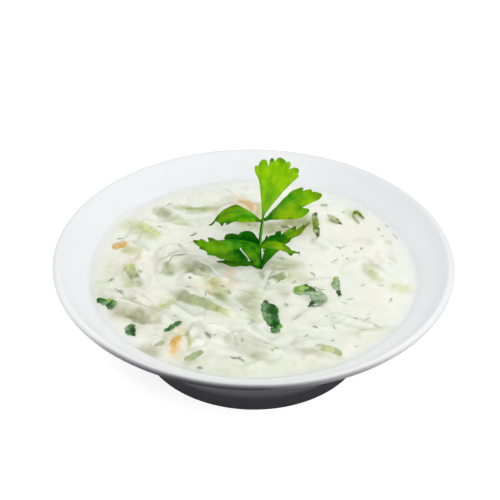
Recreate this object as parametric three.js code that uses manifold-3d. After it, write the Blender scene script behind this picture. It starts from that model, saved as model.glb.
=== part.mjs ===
// A bowl of tzatziki: a flared porcelain bowl on a low foot, filled with thick yogurt dip that is lumpy
// with cucumber strips, chopped herb leaves and carrot shreds on its surface, and a sprig of flat parsley
// standing in the middle.
// Millimetres, +Z up. The origin is the centre of the plane that the foot stands on.
import * as THREE from "three";
import { mergeVertices } from "three/addons/utils/BufferGeometryUtils.js";
import Module from "manifold-3d";

const wasm = await Module();
wasm.setup();

// ---------------------------------------------------------------- driving dimensions
const RIM_RADIUS = 95;
const BOWL_HEIGHT = 50;
const FOOT_RADIUS = 55;
const FOOT_HEIGHT = 6;
const FOOT_RING_WIDTH = 5;
const FOOT_RECESS = 2.4;
const FLOOR_HEIGHT = 8;
const LIP_RADIUS = 1.3;
const BOWL_SIDES = 60;

const DIP_LEVEL = 39.7;
const DIP_RADIUS = 78;
const DIP_DOME = 1.6;
const DIP_REACH = RIM_RADIUS - 8;
const DIP_CELLS = 48;
const DILL_FLECKS = 22;
const MERGED_TO = 0.02;
const CLEARANCE = 0.35;
const TOPPING_CLEARANCE = 0.75;

const SPRIG_BASE = [3.5, -1.4];
const STEM_RADIUS = 0.9;
const STEM_BURIED = 12;
const LEAF_THICKNESS = 0.6;
const LEAF_FOOT = 0.9;

const UP = new THREE.Vector3(0, 0, 1);
const CIRCLE = 2 * Math.PI;
const radians = THREE.MathUtils.degToRad;
const smoothstep = THREE.MathUtils.smoothstep;

// ---------------------------------------------------------------- materials
function material(color, roughness) {
  return new THREE.MeshStandardMaterial({ color, roughness, metalness: 0 });
}

const PORCELAIN = material(0xf1f1f3, 0.25);
const YOGURT = material(0xeef0e2, 0.4);
const CUCUMBER = material(0xc3cd8e, 0.35);
const PARSLEY = material(0x4f9a14, 0.5);
const CHOPPED_HERB = material(0x1f6b2a, 0.5);
const CARROT = material(0xe89a45, 0.45);

// ---------------------------------------------------------------- solids and meshes
// A closed geometry as a manifold solid: only positions are kept, and triangles that collapse are dropped.
function solidOf(geometry) {
  const bare = geometry.index ? geometry.toNonIndexed() : geometry.clone();
  bare.deleteAttribute("normal");
  bare.deleteAttribute("uv");
  const merged = mergeVertices(bare, 1e-4);
  const corners = merged.index.array;
  const kept = [];
  for (let i = 0; i < corners.length; i += 3) {
    const [a, b, c] = corners.slice(i, i + 3);
    if (a !== b && b !== c && c !== a) kept.push(a, b, c);
  }
  return new wasm.Manifold(
    new wasm.Mesh({
      numProp: 3,
      vertProperties: merged.attributes.position.array,
      triVerts: new Uint32Array(kept),
    }),
  );
}

function geometryOf(solid) {
  const { vertProperties, triVerts, numProp } = solid.getMesh();
  const count = vertProperties.length / numProp;
  const position = new Float32Array(count * 3);
  for (let i = 0; i < count; i++) {
    position.set(vertProperties.subarray(i * numProp, i * numProp + 3), i * 3);
  }
  const geometry = new THREE.BufferGeometry();
  geometry.setAttribute("position", new THREE.BufferAttribute(position, 3));
  geometry.setIndex(new THREE.BufferAttribute(triVerts, 1));
  return geometry;
}

function namedMesh(name, solid, look) {
  const faceted = geometryOf(solid).toNonIndexed();
  faceted.computeVertexNormals();
  const mesh = new THREE.Mesh(faceted, look);
  mesh.name = name;
  return mesh;
}

// The largest of a solid's bodies, which leaves out loose scraps and fills hollows that fusing sealed.
function largestBody(solid) {
  return solid.decompose().reduce((best, body) => (body.volume() > best.volume() ? body : best));
}

// A solid of revolution about Z from its profile as [radius, height] pairs.
function turned(profile, sides) {
  const points = profile.map(([r, z]) => new THREE.Vector2(r, z));
  return solidOf(new THREE.LatheGeometry(points, sides).rotateX(Math.PI / 2));
}

// A smooth run through a few [radius, height] pairs.
function smoothRun(pairs, steps) {
  const curve = new THREE.SplineCurve(pairs.map(([r, z]) => new THREE.Vector2(r, z)));
  return curve.getPoints(steps).map((p) => [p.x, p.y]);
}

// A closed shell from a grid of points on two faces that are split into triangles alike.
// face(i, j, side) gives a point for side 0, the lower face, or 1, the upper face.
// A ring closes on itself along i, and its row j = 0 is one point.
function doubleFaced(across, along, face, ring = false) {
  const columns = ring ? across : across + 1;
  const size = columns * (along + 1);
  const position = [];
  for (const side of [0, 1]) {
    for (let j = 0; j <= along; j++) {
      for (let i = 0; i < columns; i++) position.push(...face(i, j, side));
    }
  }
  const at = (i, j, side) => side * size + j * columns + (ring ? i % across : i);
  const index = [];
  const quad = (a, b, c, d) => index.push(a, b, c, a, c, d);
  for (let j = 0; j < along; j++) {
    for (let i = 0; i < across; i++) {
      quad(at(i, j, 1), at(i + 1, j, 1), at(i + 1, j + 1, 1), at(i, j + 1, 1));
      quad(at(i, j, 0), at(i, j + 1, 0), at(i + 1, j + 1, 0), at(i + 1, j, 0));
    }
  }
  for (let i = 0; i < across; i++) {
    quad(at(i, along, 0), at(i, along, 1), at(i + 1, along, 1), at(i + 1, along, 0));
    if (!ring) quad(at(i, 0, 0), at(i + 1, 0, 0), at(i + 1, 0, 1), at(i, 0, 1));
  }
  for (let j = 0; j < along && !ring; j++) {
    quad(at(0, j, 0), at(0, j, 1), at(0, j + 1, 1), at(0, j + 1, 0));
    quad(at(across, j, 0), at(across, j + 1, 0), at(across, j + 1, 1), at(across, j, 1));
  }
  const geometry = new THREE.BufferGeometry();
  geometry.setAttribute("position", new THREE.Float32BufferAttribute(position, 3));
  geometry.setIndex(index);
  return solidOf(geometry);
}

// A round rod along a list of points.
function rod(points, radius, sides) {
  const section = new THREE.Shape();
  for (let i = 0; i < sides; i++) {
    const turn = (CIRCLE * i) / sides;
    const corner = [radius * Math.cos(turn), radius * Math.sin(turn)];
    if (i) section.lineTo(...corner);
    else section.moveTo(...corner);
  }
  section.closePath();
  const path = new THREE.CatmullRomCurve3(points);
  const steps = 3 * (points.length - 1);
  return solidOf(new THREE.ExtrudeGeometry(section, { steps, extrudePath: path, bevelEnabled: false }));
}

// Repeatable draws between 0 and 1 (the Park-Miller generator).
function drawsFrom(seed) {
  const modulus = 2147483647;
  let state = seed;
  return () => {
    state = (state * 48271) % modulus;
    return state / modulus;
  };
}

// ---------------------------------------------------------------- bowl
// The inner wall from the floor's centre to the lip, as [radius, height].
const INNER_WALL = [
  [0, FLOOR_HEIGHT],
  [0.4 * RIM_RADIUS, FLOOR_HEIGHT + 0.7],
  [0.61 * RIM_RADIUS, 0.35 * BOWL_HEIGHT],
  [0.72 * RIM_RADIUS, 0.6 * BOWL_HEIGHT],
  [0.82 * RIM_RADIUS, 0.795 * BOWL_HEIGHT],
  [0.91 * RIM_RADIUS, 0.905 * BOWL_HEIGHT],
  [RIM_RADIUS - 3 * LIP_RADIUS, BOWL_HEIGHT - 0.7],
  [RIM_RADIUS - 1.6 * LIP_RADIUS, BOWL_HEIGHT - 0.1],
];

// The outer wall from the lip down to the foot.
const OUTER_WALL = [
  [RIM_RADIUS - 0.5, BOWL_HEIGHT - 1.8 * LIP_RADIUS],
  [0.925 * RIM_RADIUS, 0.865 * BOWL_HEIGHT],
  [0.82 * RIM_RADIUS, 0.67 * BOWL_HEIGHT],
  [0.7 * RIM_RADIUS, 0.41 * BOWL_HEIGHT],
  [0.62 * RIM_RADIUS, 0.24 * BOWL_HEIGHT],
  [FOOT_RADIUS - 0.6, FOOT_HEIGHT],
];

function innerProfile() {
  return smoothRun(INNER_WALL, 11);
}

function bowl() {
  const lipCentre = [RIM_RADIUS - LIP_RADIUS, BOWL_HEIGHT - LIP_RADIUS];
  const lip = [70, 35, 0].map((turn) => [
    lipCentre[0] + LIP_RADIUS * Math.cos(radians(turn)),
    lipCentre[1] + LIP_RADIUS * Math.sin(radians(turn)),
  ]);
  const foot = [
    [FOOT_RADIUS, 0.8],
    [FOOT_RADIUS - 0.8, 0],
    [FOOT_RADIUS - FOOT_RING_WIDTH, 0],
    [FOOT_RADIUS - FOOT_RING_WIDTH - 1, FOOT_RECESS],
    [0, FOOT_RECESS],
  ];
  const profile = [...innerProfile(), ...lip, ...smoothRun(OUTER_WALL, 6), ...foot];
  return turned(profile.reverse(), BOWL_SIDES);
}

// ---------------------------------------------------------------- pieces in and on the dip
// Each piece: its centre, its turn in degrees, its length and its width.
// Cucumber pieces that show bare, with their height. The first is a slice and the others are strips.
const CUCUMBERS = [
  { at: [-24.5, 60], turn: 17, length: 26, width: 14, height: 1.6 },
  { at: [-53, 32.5], turn: -48, length: 22, width: 6.5, height: 2 },
  { at: [-57, -5], turn: -69, length: 14, width: 6, height: 2 },
  { at: [-20, -7], turn: -50, length: 32, width: 7.5, height: 2.4 },
  { at: [-19, -31], turn: -31, length: 38, width: 8.5, height: 3 },
  { at: [11, -8.5], turn: 40, length: 17, width: 6, height: 1.8 },
  { at: [-42.5, -55], turn: 31, length: 12, width: 6, height: 2 },
  { at: [-26, -63.5], turn: 36, length: 13, width: 4, height: 1.6 },
  { at: [29, -57.5], turn: -17, length: 20, width: 6, height: 2 },
];

// Strips that the yogurt covers and that show as lumps, with their rise.
const COVERED_STRIPS = [
  { at: [-42, 46], turn: -35, length: 19, width: 7, rise: 2.2 },
  { at: [-58, 14.5], turn: -40, length: 14, width: 6, rise: 2 },
  { at: [-54.5, -32], turn: -23, length: 24, width: 8, rise: 2.6 },
  { at: [-27, -50], turn: 72, length: 14, width: 4.5, rise: 1.8 },
  { at: [-38, 3], turn: 40, length: 17, width: 9, rise: 3 },
  { at: [0, -57.5], turn: -27, length: 25, width: 9, rise: 2.6 },
  { at: [-6, 50], turn: 8, length: 24, width: 8, rise: 2.2 },
  { at: [57, 0], turn: -55, length: 13, width: 6, rise: 1.4 },
  { at: [55, -46], turn: 20, length: 16, width: 5.5, rise: 1.4 },
];
const STREWN_STRIPS = 26;

// Scraps of herb leaf, with how far one edge curls up.
const HERBS = [
  { at: [7.5, -33], turn: -68, length: 20, width: 8, curl: 1.6 },
  { at: [22, -16.5], turn: -8, length: 10, width: 5.5, curl: 1.4 },
  { at: [30, -22.5], turn: -62, length: 10, width: 7, curl: 1.2 },
  { at: [38.8, -12], turn: -80, length: 12, width: 4.5, curl: 1 },
  { at: [31.5, 40], turn: -86, length: 17, width: 5, curl: 1.4 },
  { at: [52, 47.5], turn: -40, length: 9, width: 6, curl: 1.2 },
  { at: [42.5, 41.5], turn: -50, length: 9, width: 4, curl: 0.8 },
  { at: [-68, -24.5], turn: -40, length: 11, width: 6, curl: 1.2 },
  { at: [-55.7, -46], turn: -60, length: 7.5, width: 6, curl: 1 },
  { at: [-37, -42.5], turn: 33, length: 11, width: 5, curl: 1.2 },
];

const CARROTS = [
  { at: [-65, 19.5], turn: 5, length: 8, width: 3.2, height: 1.4 },
  { at: [-33.5, -49.5], turn: 74, length: 10, width: 2.6, height: 1.3 },
  { at: [-3.5, 54.5], turn: -52, length: 12, width: 3.4, height: 1.4 },
];

// More covered strips, strewn evenly along a golden-angle spiral with a seeded shake. They lie lower on
// the +X side, where the dip is smoother.
function strewnStrips() {
  const draw = drawsFrom(611);
  const goldenTurn = Math.PI * (3 - Math.sqrt(5));
  return Array.from({ length: STREWN_STRIPS }, (_, i) => {
    const r = 0.9 * DIP_RADIUS * Math.sqrt((i + 0.5) / STREWN_STRIPS);
    const bearing = i * goldenTurn + 0.5 * draw();
    const at = [r * Math.cos(bearing), r * Math.sin(bearing)];
    const share = at[0] < 0 ? 1 : 0.6;
    return {
      at,
      turn: -70 + 140 * draw(),
      length: 10 + 12 * draw(),
      width: 4.5 + 3.5 * draw(),
      rise: share * (1 + 0.9 * draw()),
    };
  });
}

// Point (u, v) of a piece, along and across it, as [x, y].
function spot({ at, turn }, u, v) {
  const c = Math.cos(radians(turn));
  const s = Math.sin(radians(turn));
  return [at[0] + c * u - s * v, at[1] + s * u + c * v];
}

// ---------------------------------------------------------------- dip
// Yogurt heaps up a little under and round each bare piece of cucumber.
const MOUNDS = CUCUMBERS.map(({ at, turn, length, width, height }) => {
  return { at, turn, length: length + 4, width: width + 4, rise: 0.5 * height };
});
const LUMPS = [...MOUNDS, ...COVERED_STRIPS, ...strewnStrips()];

// The lift of one lump at (x, y): a rounded bar whose ends and sides fall away softly.
function lumpLift({ at, turn, length, width, rise }, x, y) {
  const c = Math.cos(radians(turn));
  const s = Math.sin(radians(turn));
  const u = c * (x - at[0]) + s * (y - at[1]);
  const v = c * (y - at[1]) - s * (x - at[0]);
  const past = Math.max(Math.abs(u) - (length - width) / 2, 0);
  return rise * (1 - smoothstep(Math.hypot(past, v) / (width / 2), 0.45, 1.4));
}

function dipHeight(x, y) {
  const r = Math.hypot(x, y);
  const dome = DIP_DOME * (1 - (r / DIP_RADIUS) ** 2);
  const swell = 0.45 * Math.sin(0.13 * x + 0.05 * y) + 0.4 * Math.sin(0.17 * y - 0.06 * x + 1.3);
  const lift = Math.max(...LUMPS.map((lump) => lumpLift(lump, x, y)));
  const calm = 1 - 0.75 * smoothstep(r, DIP_RADIUS - 12, DIP_RADIUS + 2);
  return DIP_LEVEL + dome + calm * (swell + lift);
}

// The height of the dip's facets at (x, y): each cell of its grid is two triangles.
function facetHeight(x, y) {
  const along = ((x / DIP_REACH + 1) * DIP_CELLS) / 2;
  const up = ((y / DIP_REACH + 1) * DIP_CELLS) / 2;
  const [i, j] = [Math.floor(along), Math.floor(up)];
  const [a, b] = [along - i, up - j];
  const corner = (di, dj) => dipHeight(gridLine(i + di), gridLine(j + dj));
  const [near, far] = [corner(0, 0), corner(1, 1)];
  return a > b
    ? near * (1 - a) + corner(1, 0) * (a - b) + far * b
    : near * (1 - b) + corner(0, 1) * (b - a) + far * a;
}

function gridLine(i) {
  return DIP_REACH * ((2 * i) / DIP_CELLS - 1);
}

// A bent fleck of dill, sunk a little into the dip.
function dillFleck(fleck) {
  const halfWidth = 0.45;
  const rise = 0.5;
  const depth = 0.8;
  return doubleFaced(2, 1, (i, j, side) => {
    const bent = i === 1 ? 0.12 * fleck.length : 0;
    const [x, y] = spot(fleck, fleck.length * (i / 2 - 0.5), halfWidth * (2 * j - 1) + bent);
    return [x, y, facetHeight(x, y) + (side ? rise : -depth)];
  });
}

function dillFlecks(pieces) {
  const draw = drawsFrom(97);
  const flecks = [];
  while (flecks.length < DILL_FLECKS) {
    const r = 0.9 * DIP_RADIUS * Math.sqrt(draw());
    const bearing = CIRCLE * draw();
    const at = [r * Math.cos(bearing), r * Math.sin(bearing)];
    const fleck = { at, turn: 180 * draw(), length: 3 + 2.5 * draw() };
    const clear = pieces.every((p) => Math.hypot(at[0] - p.at[0], at[1] - p.at[1]) > p.length / 2 + 5);
    if (clear) flecks.push(dillFleck(fleck));
  }
  return flecks;
}

// The hollow that the dip fills, a clearance inside the bowl's wall.
function cavity() {
  const wall = innerProfile();
  const inset = wall.map(([r, z], i) => {
    const [r0, z0] = wall[Math.max(i - 1, 0)];
    const [r1, z1] = wall[Math.min(i + 1, wall.length - 1)];
    const run = Math.hypot(r1 - r0, z1 - z0);
    return [Math.max(r - (CLEARANCE * (z1 - z0)) / run, 0), z + (CLEARANCE * (r1 - r0)) / run];
  });
  inset[0][0] = 0;
  const top = inset[inset.length - 1][1];
  return turned([...inset, [0, top]], BOWL_SIDES);
}

function dip(pieces, hole) {
  const block = doubleFaced(DIP_CELLS, DIP_CELLS, (i, j, side) => {
    const [x, y] = [gridLine(i), gridLine(j)];
    return [x, y, side ? dipHeight(x, y) : 0];
  });
  const core = block.intersect(cavity());
  const flecked = dillFlecks(pieces).reduce((body, fleck) => body.add(fleck), core);
  return flecked.subtract(hole).simplify(MERGED_TO);
}

// ---------------------------------------------------------------- cucumber, herbs and carrot
// A flat piece with a round or lobed outline that follows the dip, with one long edge curled up.
function scrap(piece, { sides, rings, lobing, thickness, curl }) {
  return doubleFaced(
    sides,
    rings,
    (i, j, side) => {
      const bearing = (-CIRCLE * i) / sides;
      const reach = ((1 - lobing * (i % 2)) * j) / rings;
      const v = 0.5 * piece.width * reach * Math.sin(bearing);
      const [x, y] = spot(piece, 0.5 * piece.length * reach * Math.cos(bearing), v);
      const curled = curl * smoothstep(v / piece.width, 0, 0.5);
      const full = j === rings ? 0.7 : 1;
      return [x, y, facetHeight(x, y) + TOPPING_CLEARANCE + curled + side * full * thickness];
    },
    true,
  );
}

function cucumberSlice(piece) {
  return scrap(piece, { sides: 14, rings: 3, lobing: 0, thickness: piece.height, curl: 0 });
}

function herbScrap(piece) {
  return scrap(piece, { sides: 10, rings: 2, lobing: 0.16, thickness: 0.8, curl: piece.curl });
}

// A strip that follows the dip's surface, thickest in the middle and narrower at its ends.
function strip(piece) {
  const steps = 5;
  return doubleFaced(steps, 2, (i, j, side) => {
    const out = 2 * Math.abs(i / steps - 0.5);
    const taper = 1 - 0.45 * out ** 2;
    const [x, y] = spot(piece, piece.length * (i / steps - 0.5), 0.5 * piece.width * taper * (j - 1));
    const crown = side * piece.height * taper * (j === 1 ? 1 : 0.6);
    return [x, y, facetHeight(x, y) + TOPPING_CLEARANCE + crown];
  });
}

// ---------------------------------------------------------------- parsley sprig
// The stem's nodes, from the point where it leaves the dip.
const FOOT_NODE = [0, 0, 1.6];
const LOW_NODE = [0, 2.8, 11];
const TOP_NODE = [0.5, 6.5, 24];

// Leaflets: the node each grows from, where its tip lies from there, how far its midrib arches up, and the
// way its face looks. spread is half the fan's angle in degrees; left and right are the reach of its side
// lobes as a share of its length; parting is the depth of the notches between the lobes.
const LEAFLETS = [
  {
    node: TOP_NODE, tip: [7.3, 8.6, 29], face: [0.1, -0.9, 0.35], arch: 0,
    spread: 22, left: 0.92, right: 0.97, parting: 0.05, teeth: 6,
  },
  {
    node: TOP_NODE, tip: [27, -1, 16.4], face: [0, -0.8, 0.6], arch: 1,
    spread: 21, left: 0.83, right: 0.72, parting: 0.12, teeth: 6,
  },
  {
    node: TOP_NODE, tip: [-25, 1, -3.4], face: [0.1, -0.75, 0.65], arch: 12,
    spread: 19, left: 0.65, right: 0.6, parting: 0.08, teeth: 6,
  },
  {
    node: LOW_NODE, tip: [-31.5, -5, 6], face: [0, -0.7, 0.7], arch: 1,
    spread: 21, left: 0.7, right: 0.55, parting: 0.08, teeth: 7,
  },
  {
    node: LOW_NODE, tip: [-13, 7, -1], face: [0, -0.8, 0.6], arch: 2,
    spread: 32, left: 0.9, right: 0.8, parting: 0.08, teeth: 5,
  },
  {
    node: LOW_NODE, tip: [23, 7.5, 7.5], face: [0, -0.8, 0.6], arch: 0.5,
    spread: 20, left: 0.6, right: 0.6, parting: 0.12, teeth: 6,
  },
  {
    node: FOOT_NODE, tip: [-22.5, -2.5, 12.8], face: [0, -0.8, 0.6], arch: 1,
    spread: 20, left: 0.75, right: 0.8, parting: 0.08, teeth: 6,
  },
  {
    node: FOOT_NODE, tip: [10.5, -2.5, 18.3], face: [0, -0.8, 0.6], arch: 1,
    spread: 27, left: 0.8, right: 1.05, parting: 0.1, teeth: 5,
  },
  {
    node: FOOT_NODE, tip: [-2.8, -5, 16], face: [0, -0.9, 0.4], arch: 0,
    spread: 18, left: 0.8, right: 0.8, parting: 0.05, teeth: 4,
  },
];

// The edge of a leaflet at s, from -1 to 1 across its fan, as a share of its length.
function leafEdge(s, { left, right, parting, teeth }) {
  const outward = Math.abs(s);
  const side = s < 0 ? left : right;
  const lobes = 1 + (side - 1) * smoothstep(outward, 0, 0.75) - 0.1 * smoothstep(outward, 0.8, 1);
  const notch = parting * Math.exp(-(((outward - 0.38) / 0.1) ** 2));
  const scallop = 0.09 * (1 - Math.abs(Math.sin((Math.PI * teeth * (s + 1)) / 2)) ** 0.6);
  return lobes - notch - scallop;
}

function leaflet(base, leaf) {
  const start = new THREE.Vector3(...base).add(new THREE.Vector3(...leaf.node));
  const reach = new THREE.Vector3(...leaf.tip);
  const length = reach.length();
  const bend = start.clone().addScaledVector(reach, 0.5).addScaledVector(UP, leaf.arch);
  const midrib = new THREE.QuadraticBezierCurve3(start, bend, start.clone().add(reach));
  const across = new THREE.Vector3().crossVectors(reach, new THREE.Vector3(...leaf.face)).normalize();
  const normal = new THREE.Vector3().crossVectors(across, reach).normalize();
  const samples = 3 * leaf.teeth;
  const rings = leaf.arch > 5 ? 4 : 2;
  return doubleFaced(samples, rings, (i, j, side) => {
    const s = (2 * i) / samples - 1;
    const t = j / rings;
    const fan = radians(leaf.spread) * s * (0.75 + 0.25 * t);
    const out = length * t * leafEdge(s, leaf);
    const x = out * Math.sin(fan) + LEAF_FOOT * s * (1 - t);
    const wave = 0.03 * length * t * Math.sin(2.5 * Math.PI * s + length);
    const lift = 0.08 * Math.abs(x) + wave + LEAF_THICKNESS * (side - 0.5);
    return midrib.getPoint((out * Math.cos(fan)) / length).addScaledVector(across, x)
      .addScaledVector(normal, lift).toArray();
  });
}

function stemPoints([x, y, z]) {
  const nodes = [[0, -1, -STEM_BURIED], [0, 0, 0], LOW_NODE, TOP_NODE];
  return nodes.map(([dx, dy, dz]) => new THREE.Vector3(x + dx, y + dy, z + dz));
}

function sprig(base) {
  const stem = rod(stemPoints(base), STEM_RADIUS, 8);
  const leaflets = LEAFLETS.map((leaf) => leaflet(base, leaf));
  return largestBody(leaflets.reduce((plant, leaf) => plant.add(leaf), stem).simplify(MERGED_TO));
}

// The hole in the dip that the stem stands in, a clearance wider and deeper than the stem.
function stemHole(base) {
  const radius = STEM_RADIUS + CLEARANCE + 0.1;
  const bottom = new THREE.SphereGeometry(radius + 0.1, 8, 6);
  bottom.translate(...stemPoints(base)[0].toArray());
  return rod(stemPoints(base), radius, 8).add(solidOf(bottom));
}

// ---------------------------------------------------------------- the whole
const sprigBase = [...SPRIG_BASE, dipHeight(...SPRIG_BASE)];
const tzatziki = new THREE.Group();

function addAll(name, pieces, shape, look) {
  pieces.forEach((piece, i) => tzatziki.add(namedMesh(`${name}_${i + 1}`, shape(piece), look)));
}

const pieces = [...CUCUMBERS, ...HERBS, ...CARROTS];
const [slice, ...strips] = CUCUMBERS;
tzatziki.add(namedMesh("bowl", bowl(), PORCELAIN));
tzatziki.add(namedMesh("dip", dip(pieces, stemHole(sprigBase)), YOGURT));
tzatziki.add(namedMesh("parsley_sprig", sprig(sprigBase), PARSLEY));
tzatziki.add(namedMesh("cucumber_slice", cucumberSlice(slice), CUCUMBER));
addAll("cucumber_strip", strips, strip, CUCUMBER);
addAll("herb", HERBS, herbScrap, CHOPPED_HERB);
addAll("carrot", CARROTS, strip, CARROT);

export default tzatziki;
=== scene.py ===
"""The looks of a bowl of tzatziki: a glazed bowl, yogurt that is lumpy with cucumber, bare cucumber pieces,
herb leaves, carrot shreds and dill on it, and a sprig of flat parsley standing in the middle.

Shapes are worked out in millimetres in the frame's axes and become metres as each mesh is made.
"""
import math

import bmesh
import bpy
import numpy as np
from mathutils import Matrix, Vector
from mathutils.geometry import delaunay_2d_cdt


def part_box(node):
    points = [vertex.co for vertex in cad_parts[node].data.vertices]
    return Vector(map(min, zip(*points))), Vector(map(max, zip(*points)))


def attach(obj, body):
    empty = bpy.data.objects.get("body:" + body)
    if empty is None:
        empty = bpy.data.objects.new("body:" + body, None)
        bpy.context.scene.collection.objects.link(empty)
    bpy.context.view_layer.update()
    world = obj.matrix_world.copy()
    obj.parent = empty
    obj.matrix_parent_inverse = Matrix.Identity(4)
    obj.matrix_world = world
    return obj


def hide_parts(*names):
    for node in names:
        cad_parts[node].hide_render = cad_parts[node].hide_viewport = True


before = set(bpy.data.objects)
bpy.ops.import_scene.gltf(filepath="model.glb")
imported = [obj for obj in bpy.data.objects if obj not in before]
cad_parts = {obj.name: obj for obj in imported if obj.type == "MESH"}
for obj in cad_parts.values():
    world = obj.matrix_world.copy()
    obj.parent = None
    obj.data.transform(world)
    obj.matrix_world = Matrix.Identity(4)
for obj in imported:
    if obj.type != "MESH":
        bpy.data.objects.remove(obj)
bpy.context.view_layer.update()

MM = 0.001
CIRCLE = 2 * math.pi

# ---------------------------------------------------------------- named sizes, in millimetres
_, bowl_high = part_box("bowl")
RIM_RADIUS, BOWL_HEIGHT = float(bowl_high[0]) / MM, float(bowl_high[2]) / MM
# the drawn lip is rounder than the solid's and lies just inside it
LIP_INSET = 0.1
LIP_LOWERED = 0.4
LIP_WIDTH = 2.1
LIP_DROP = 1.4
FOOT_RADIUS = 55.0
FOOT_HEIGHT = 6.0
FOOT_RING_WIDTH = 5.0
FOOT_RECESS = 2.4
FLOOR_HEIGHT = 8.0
BOWL_SIDES = 192

DIP_LEVEL = 39.7
DIP_RADIUS = 78.0
DIP_DOME = 1.6
DIP_CELLS = 296
SKIN_RADIUS = 84.5
SHREDS = 90
DILL_FLECKS = 22
DILL_THREADS = 70
PEEL_BITS = 40

SPRIG_BASE = (3.5, -1.4)
STEM_RADIUS = 0.9
STEM_TOP_RADIUS = 0.75
STEM_SIDES = 12
STEM_BURIED = 12.0
LEAF_THICKNESS = 0.38
LEAF_SPACING = 0.6

# ---------------------------------------------------------------- light and camera
# The floor and the light are in metres and watts, the camera and its lens in millimetres and degrees.
WORLD_STRENGTH = 0.83
FLOOR_GLOW = 0.62
FLOOR_HALF = 4.0
KEY_PLACE = (0.42, -0.74, 0.89)
KEY_TARGET = (0, 0, 0.04)
KEY_SIZE = 0.8
KEY_POWER = 5.4
CAMERA_ELEVATION = 36.08
CAMERA_ROLL = 0.64
CAMERA_TARGET = (-1.84, 4.04, 48.8)
CAMERA_DISTANCE = 665
LENS_LENGTH = 100.6
SENSOR_WIDTH = 36


# ---------------------------------------------------------------- numbers
def smoothstep(value, low, high):
    t = np.clip((value - low) / (high - low), 0, 1)
    return t * t * (3 - 2 * t)


def unit(vector):
    return vector / np.linalg.norm(vector)


def noise(x, y, size, seed):
    """Smooth noise between -1 and 1 with bumps about size across."""
    cells = 64
    lattice = np.random.default_rng(seed).uniform(-1, 1, (cells, cells))
    u, v = x / size + cells / 2, y / size + cells / 2
    i, j = np.floor(u).astype(int), np.floor(v).astype(int)
    a, b = smoothstep(u - i, 0, 1), smoothstep(v - j, 0, 1)

    def corner(di, dj):
        return lattice[(i + di) % cells, (j + dj) % cells]

    near = corner(0, 0) * (1 - a) + corner(1, 0) * a
    far = corner(0, 1) * (1 - a) + corner(1, 1) * a
    return near * (1 - b) + far * b


def draws_from(seed):
    """Repeatable draws between 0 and 1 (the Park-Miller generator)."""
    modulus = 2147483647
    state = seed
    while True:
        state = state * 48271 % modulus
        yield state / modulus


def eased(p1, p2, v1, v2, t):
    """The point at share t of a smooth span from p1 to p2, with slope v1 at its start and v2 at its end."""
    cube, square = 2 * p1 - 2 * p2 + v1 + v2, 3 * p2 - 3 * p1 - 2 * v1 - v2
    return cube * t**3 + square * t**2 + v1 * t + p1


def smooth_run(stations, steps):
    """Points along the Catmull-Rom curve through a few stations, steps to each span."""
    padded = np.array([stations[0], *stations, stations[-1]], float)
    spans = zip(padded, padded[1:], padded[2:], padded[3:])
    run = [
        eased(p1, p2, (p2 - p0) / 2, (p3 - p1) / 2, t)
        for p0, p1, p2, p3 in spans for t in np.arange(steps) / steps
    ]
    return np.array([*run, padded[-1]])


# ---------------------------------------------------------------- outlines
def rounded(outline, steps):
    """Points along the closed curve that runs smoothly through the corners of an outline."""
    here = np.array(outline, float)
    before, after, beyond = (np.roll(here, shift, axis=0) for shift in (1, -1, -2))
    v1, v2 = 0.38 * (after - before), 0.38 * (beyond - here)
    rows = [eased(here, after, v1, v2, t) for t in np.arange(steps) / steps]
    return np.stack(rows, 1).reshape(-1, 2)


def is_inside(outline, points):
    x, y = points[:, :1], points[:, 1:]
    (x1, y1), (x2, y2) = outline.T, np.roll(outline, -1, axis=0).T
    level = (y1 > y) != (y2 > y)
    crossing = x1 + (x2 - x1) * (y - y1) / np.where(y1 == y2, 1, y2 - y1)
    return np.sum(level & (x < crossing), axis=1) % 2 == 1


def gap_to(outline, points):
    """How far each point lies from the outline."""
    run = np.roll(outline, -1, axis=0) - outline
    away = points[:, None] - outline
    t = np.clip((away * run).sum(-1) / (run * run).sum(-1), 0, 1)
    return np.linalg.norm(away - t[..., None] * run, axis=-1).min(axis=1)


def filled(outline, spacing):
    """Points and triangles of the flat shape inside an outline, with points about spacing apart in it."""
    low, high = outline.min(axis=0), outline.max(axis=0)
    across, along = np.arange(low[0] - spacing, high[0], spacing), np.arange(low[1], high[1], 0.87 * spacing)
    x, y = np.meshgrid(across, along)
    x = x + 0.5 * spacing * (np.arange(len(along)) % 2)[:, None]
    points = np.stack([x.ravel(), y.ravel()], 1)
    points = points[is_inside(outline, points)]
    points = points[gap_to(outline, points) > 0.4 * spacing]
    count = len(outline)
    loop = [(i, (i + 1) % count) for i in range(count)]
    corners = [Vector(point) for point in np.concatenate([outline, points]).tolist()]
    found, _, triangles, *_ = delaunay_2d_cdt(corners, loop, [], 1, 1e-6)
    return np.array([tuple(point) for point in found]), [tuple(triangle) for triangle in triangles]


def leaf(outline, spacing, thickness, place):
    """A closed leaf with a rounded edge. place gives the middle and the normal for points of the flat
    outline. Returns its points, faces, and the flat points and their gaps to the outline, for masks."""
    flat, triangles = filled(outline, spacing)
    gap = gap_to(outline, flat)
    middle, normal = place(flat, gap)
    half = (0.5 * thickness * np.sqrt(np.clip(gap / thickness, 0.03, 1)))[:, None]
    count = len(flat)
    edges = {(a, b) for face in triangles for a, b in zip(face, (*face[1:], face[0]))}
    faces = [*triangles, *(tuple(count + i for i in face[::-1]) for face in triangles)]
    faces += [(b, a, a + count, b + count) for a, b in sorted(edges) if (b, a) not in edges]
    return np.concatenate([middle + normal * half, middle - normal * half]), faces, flat, gap


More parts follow.
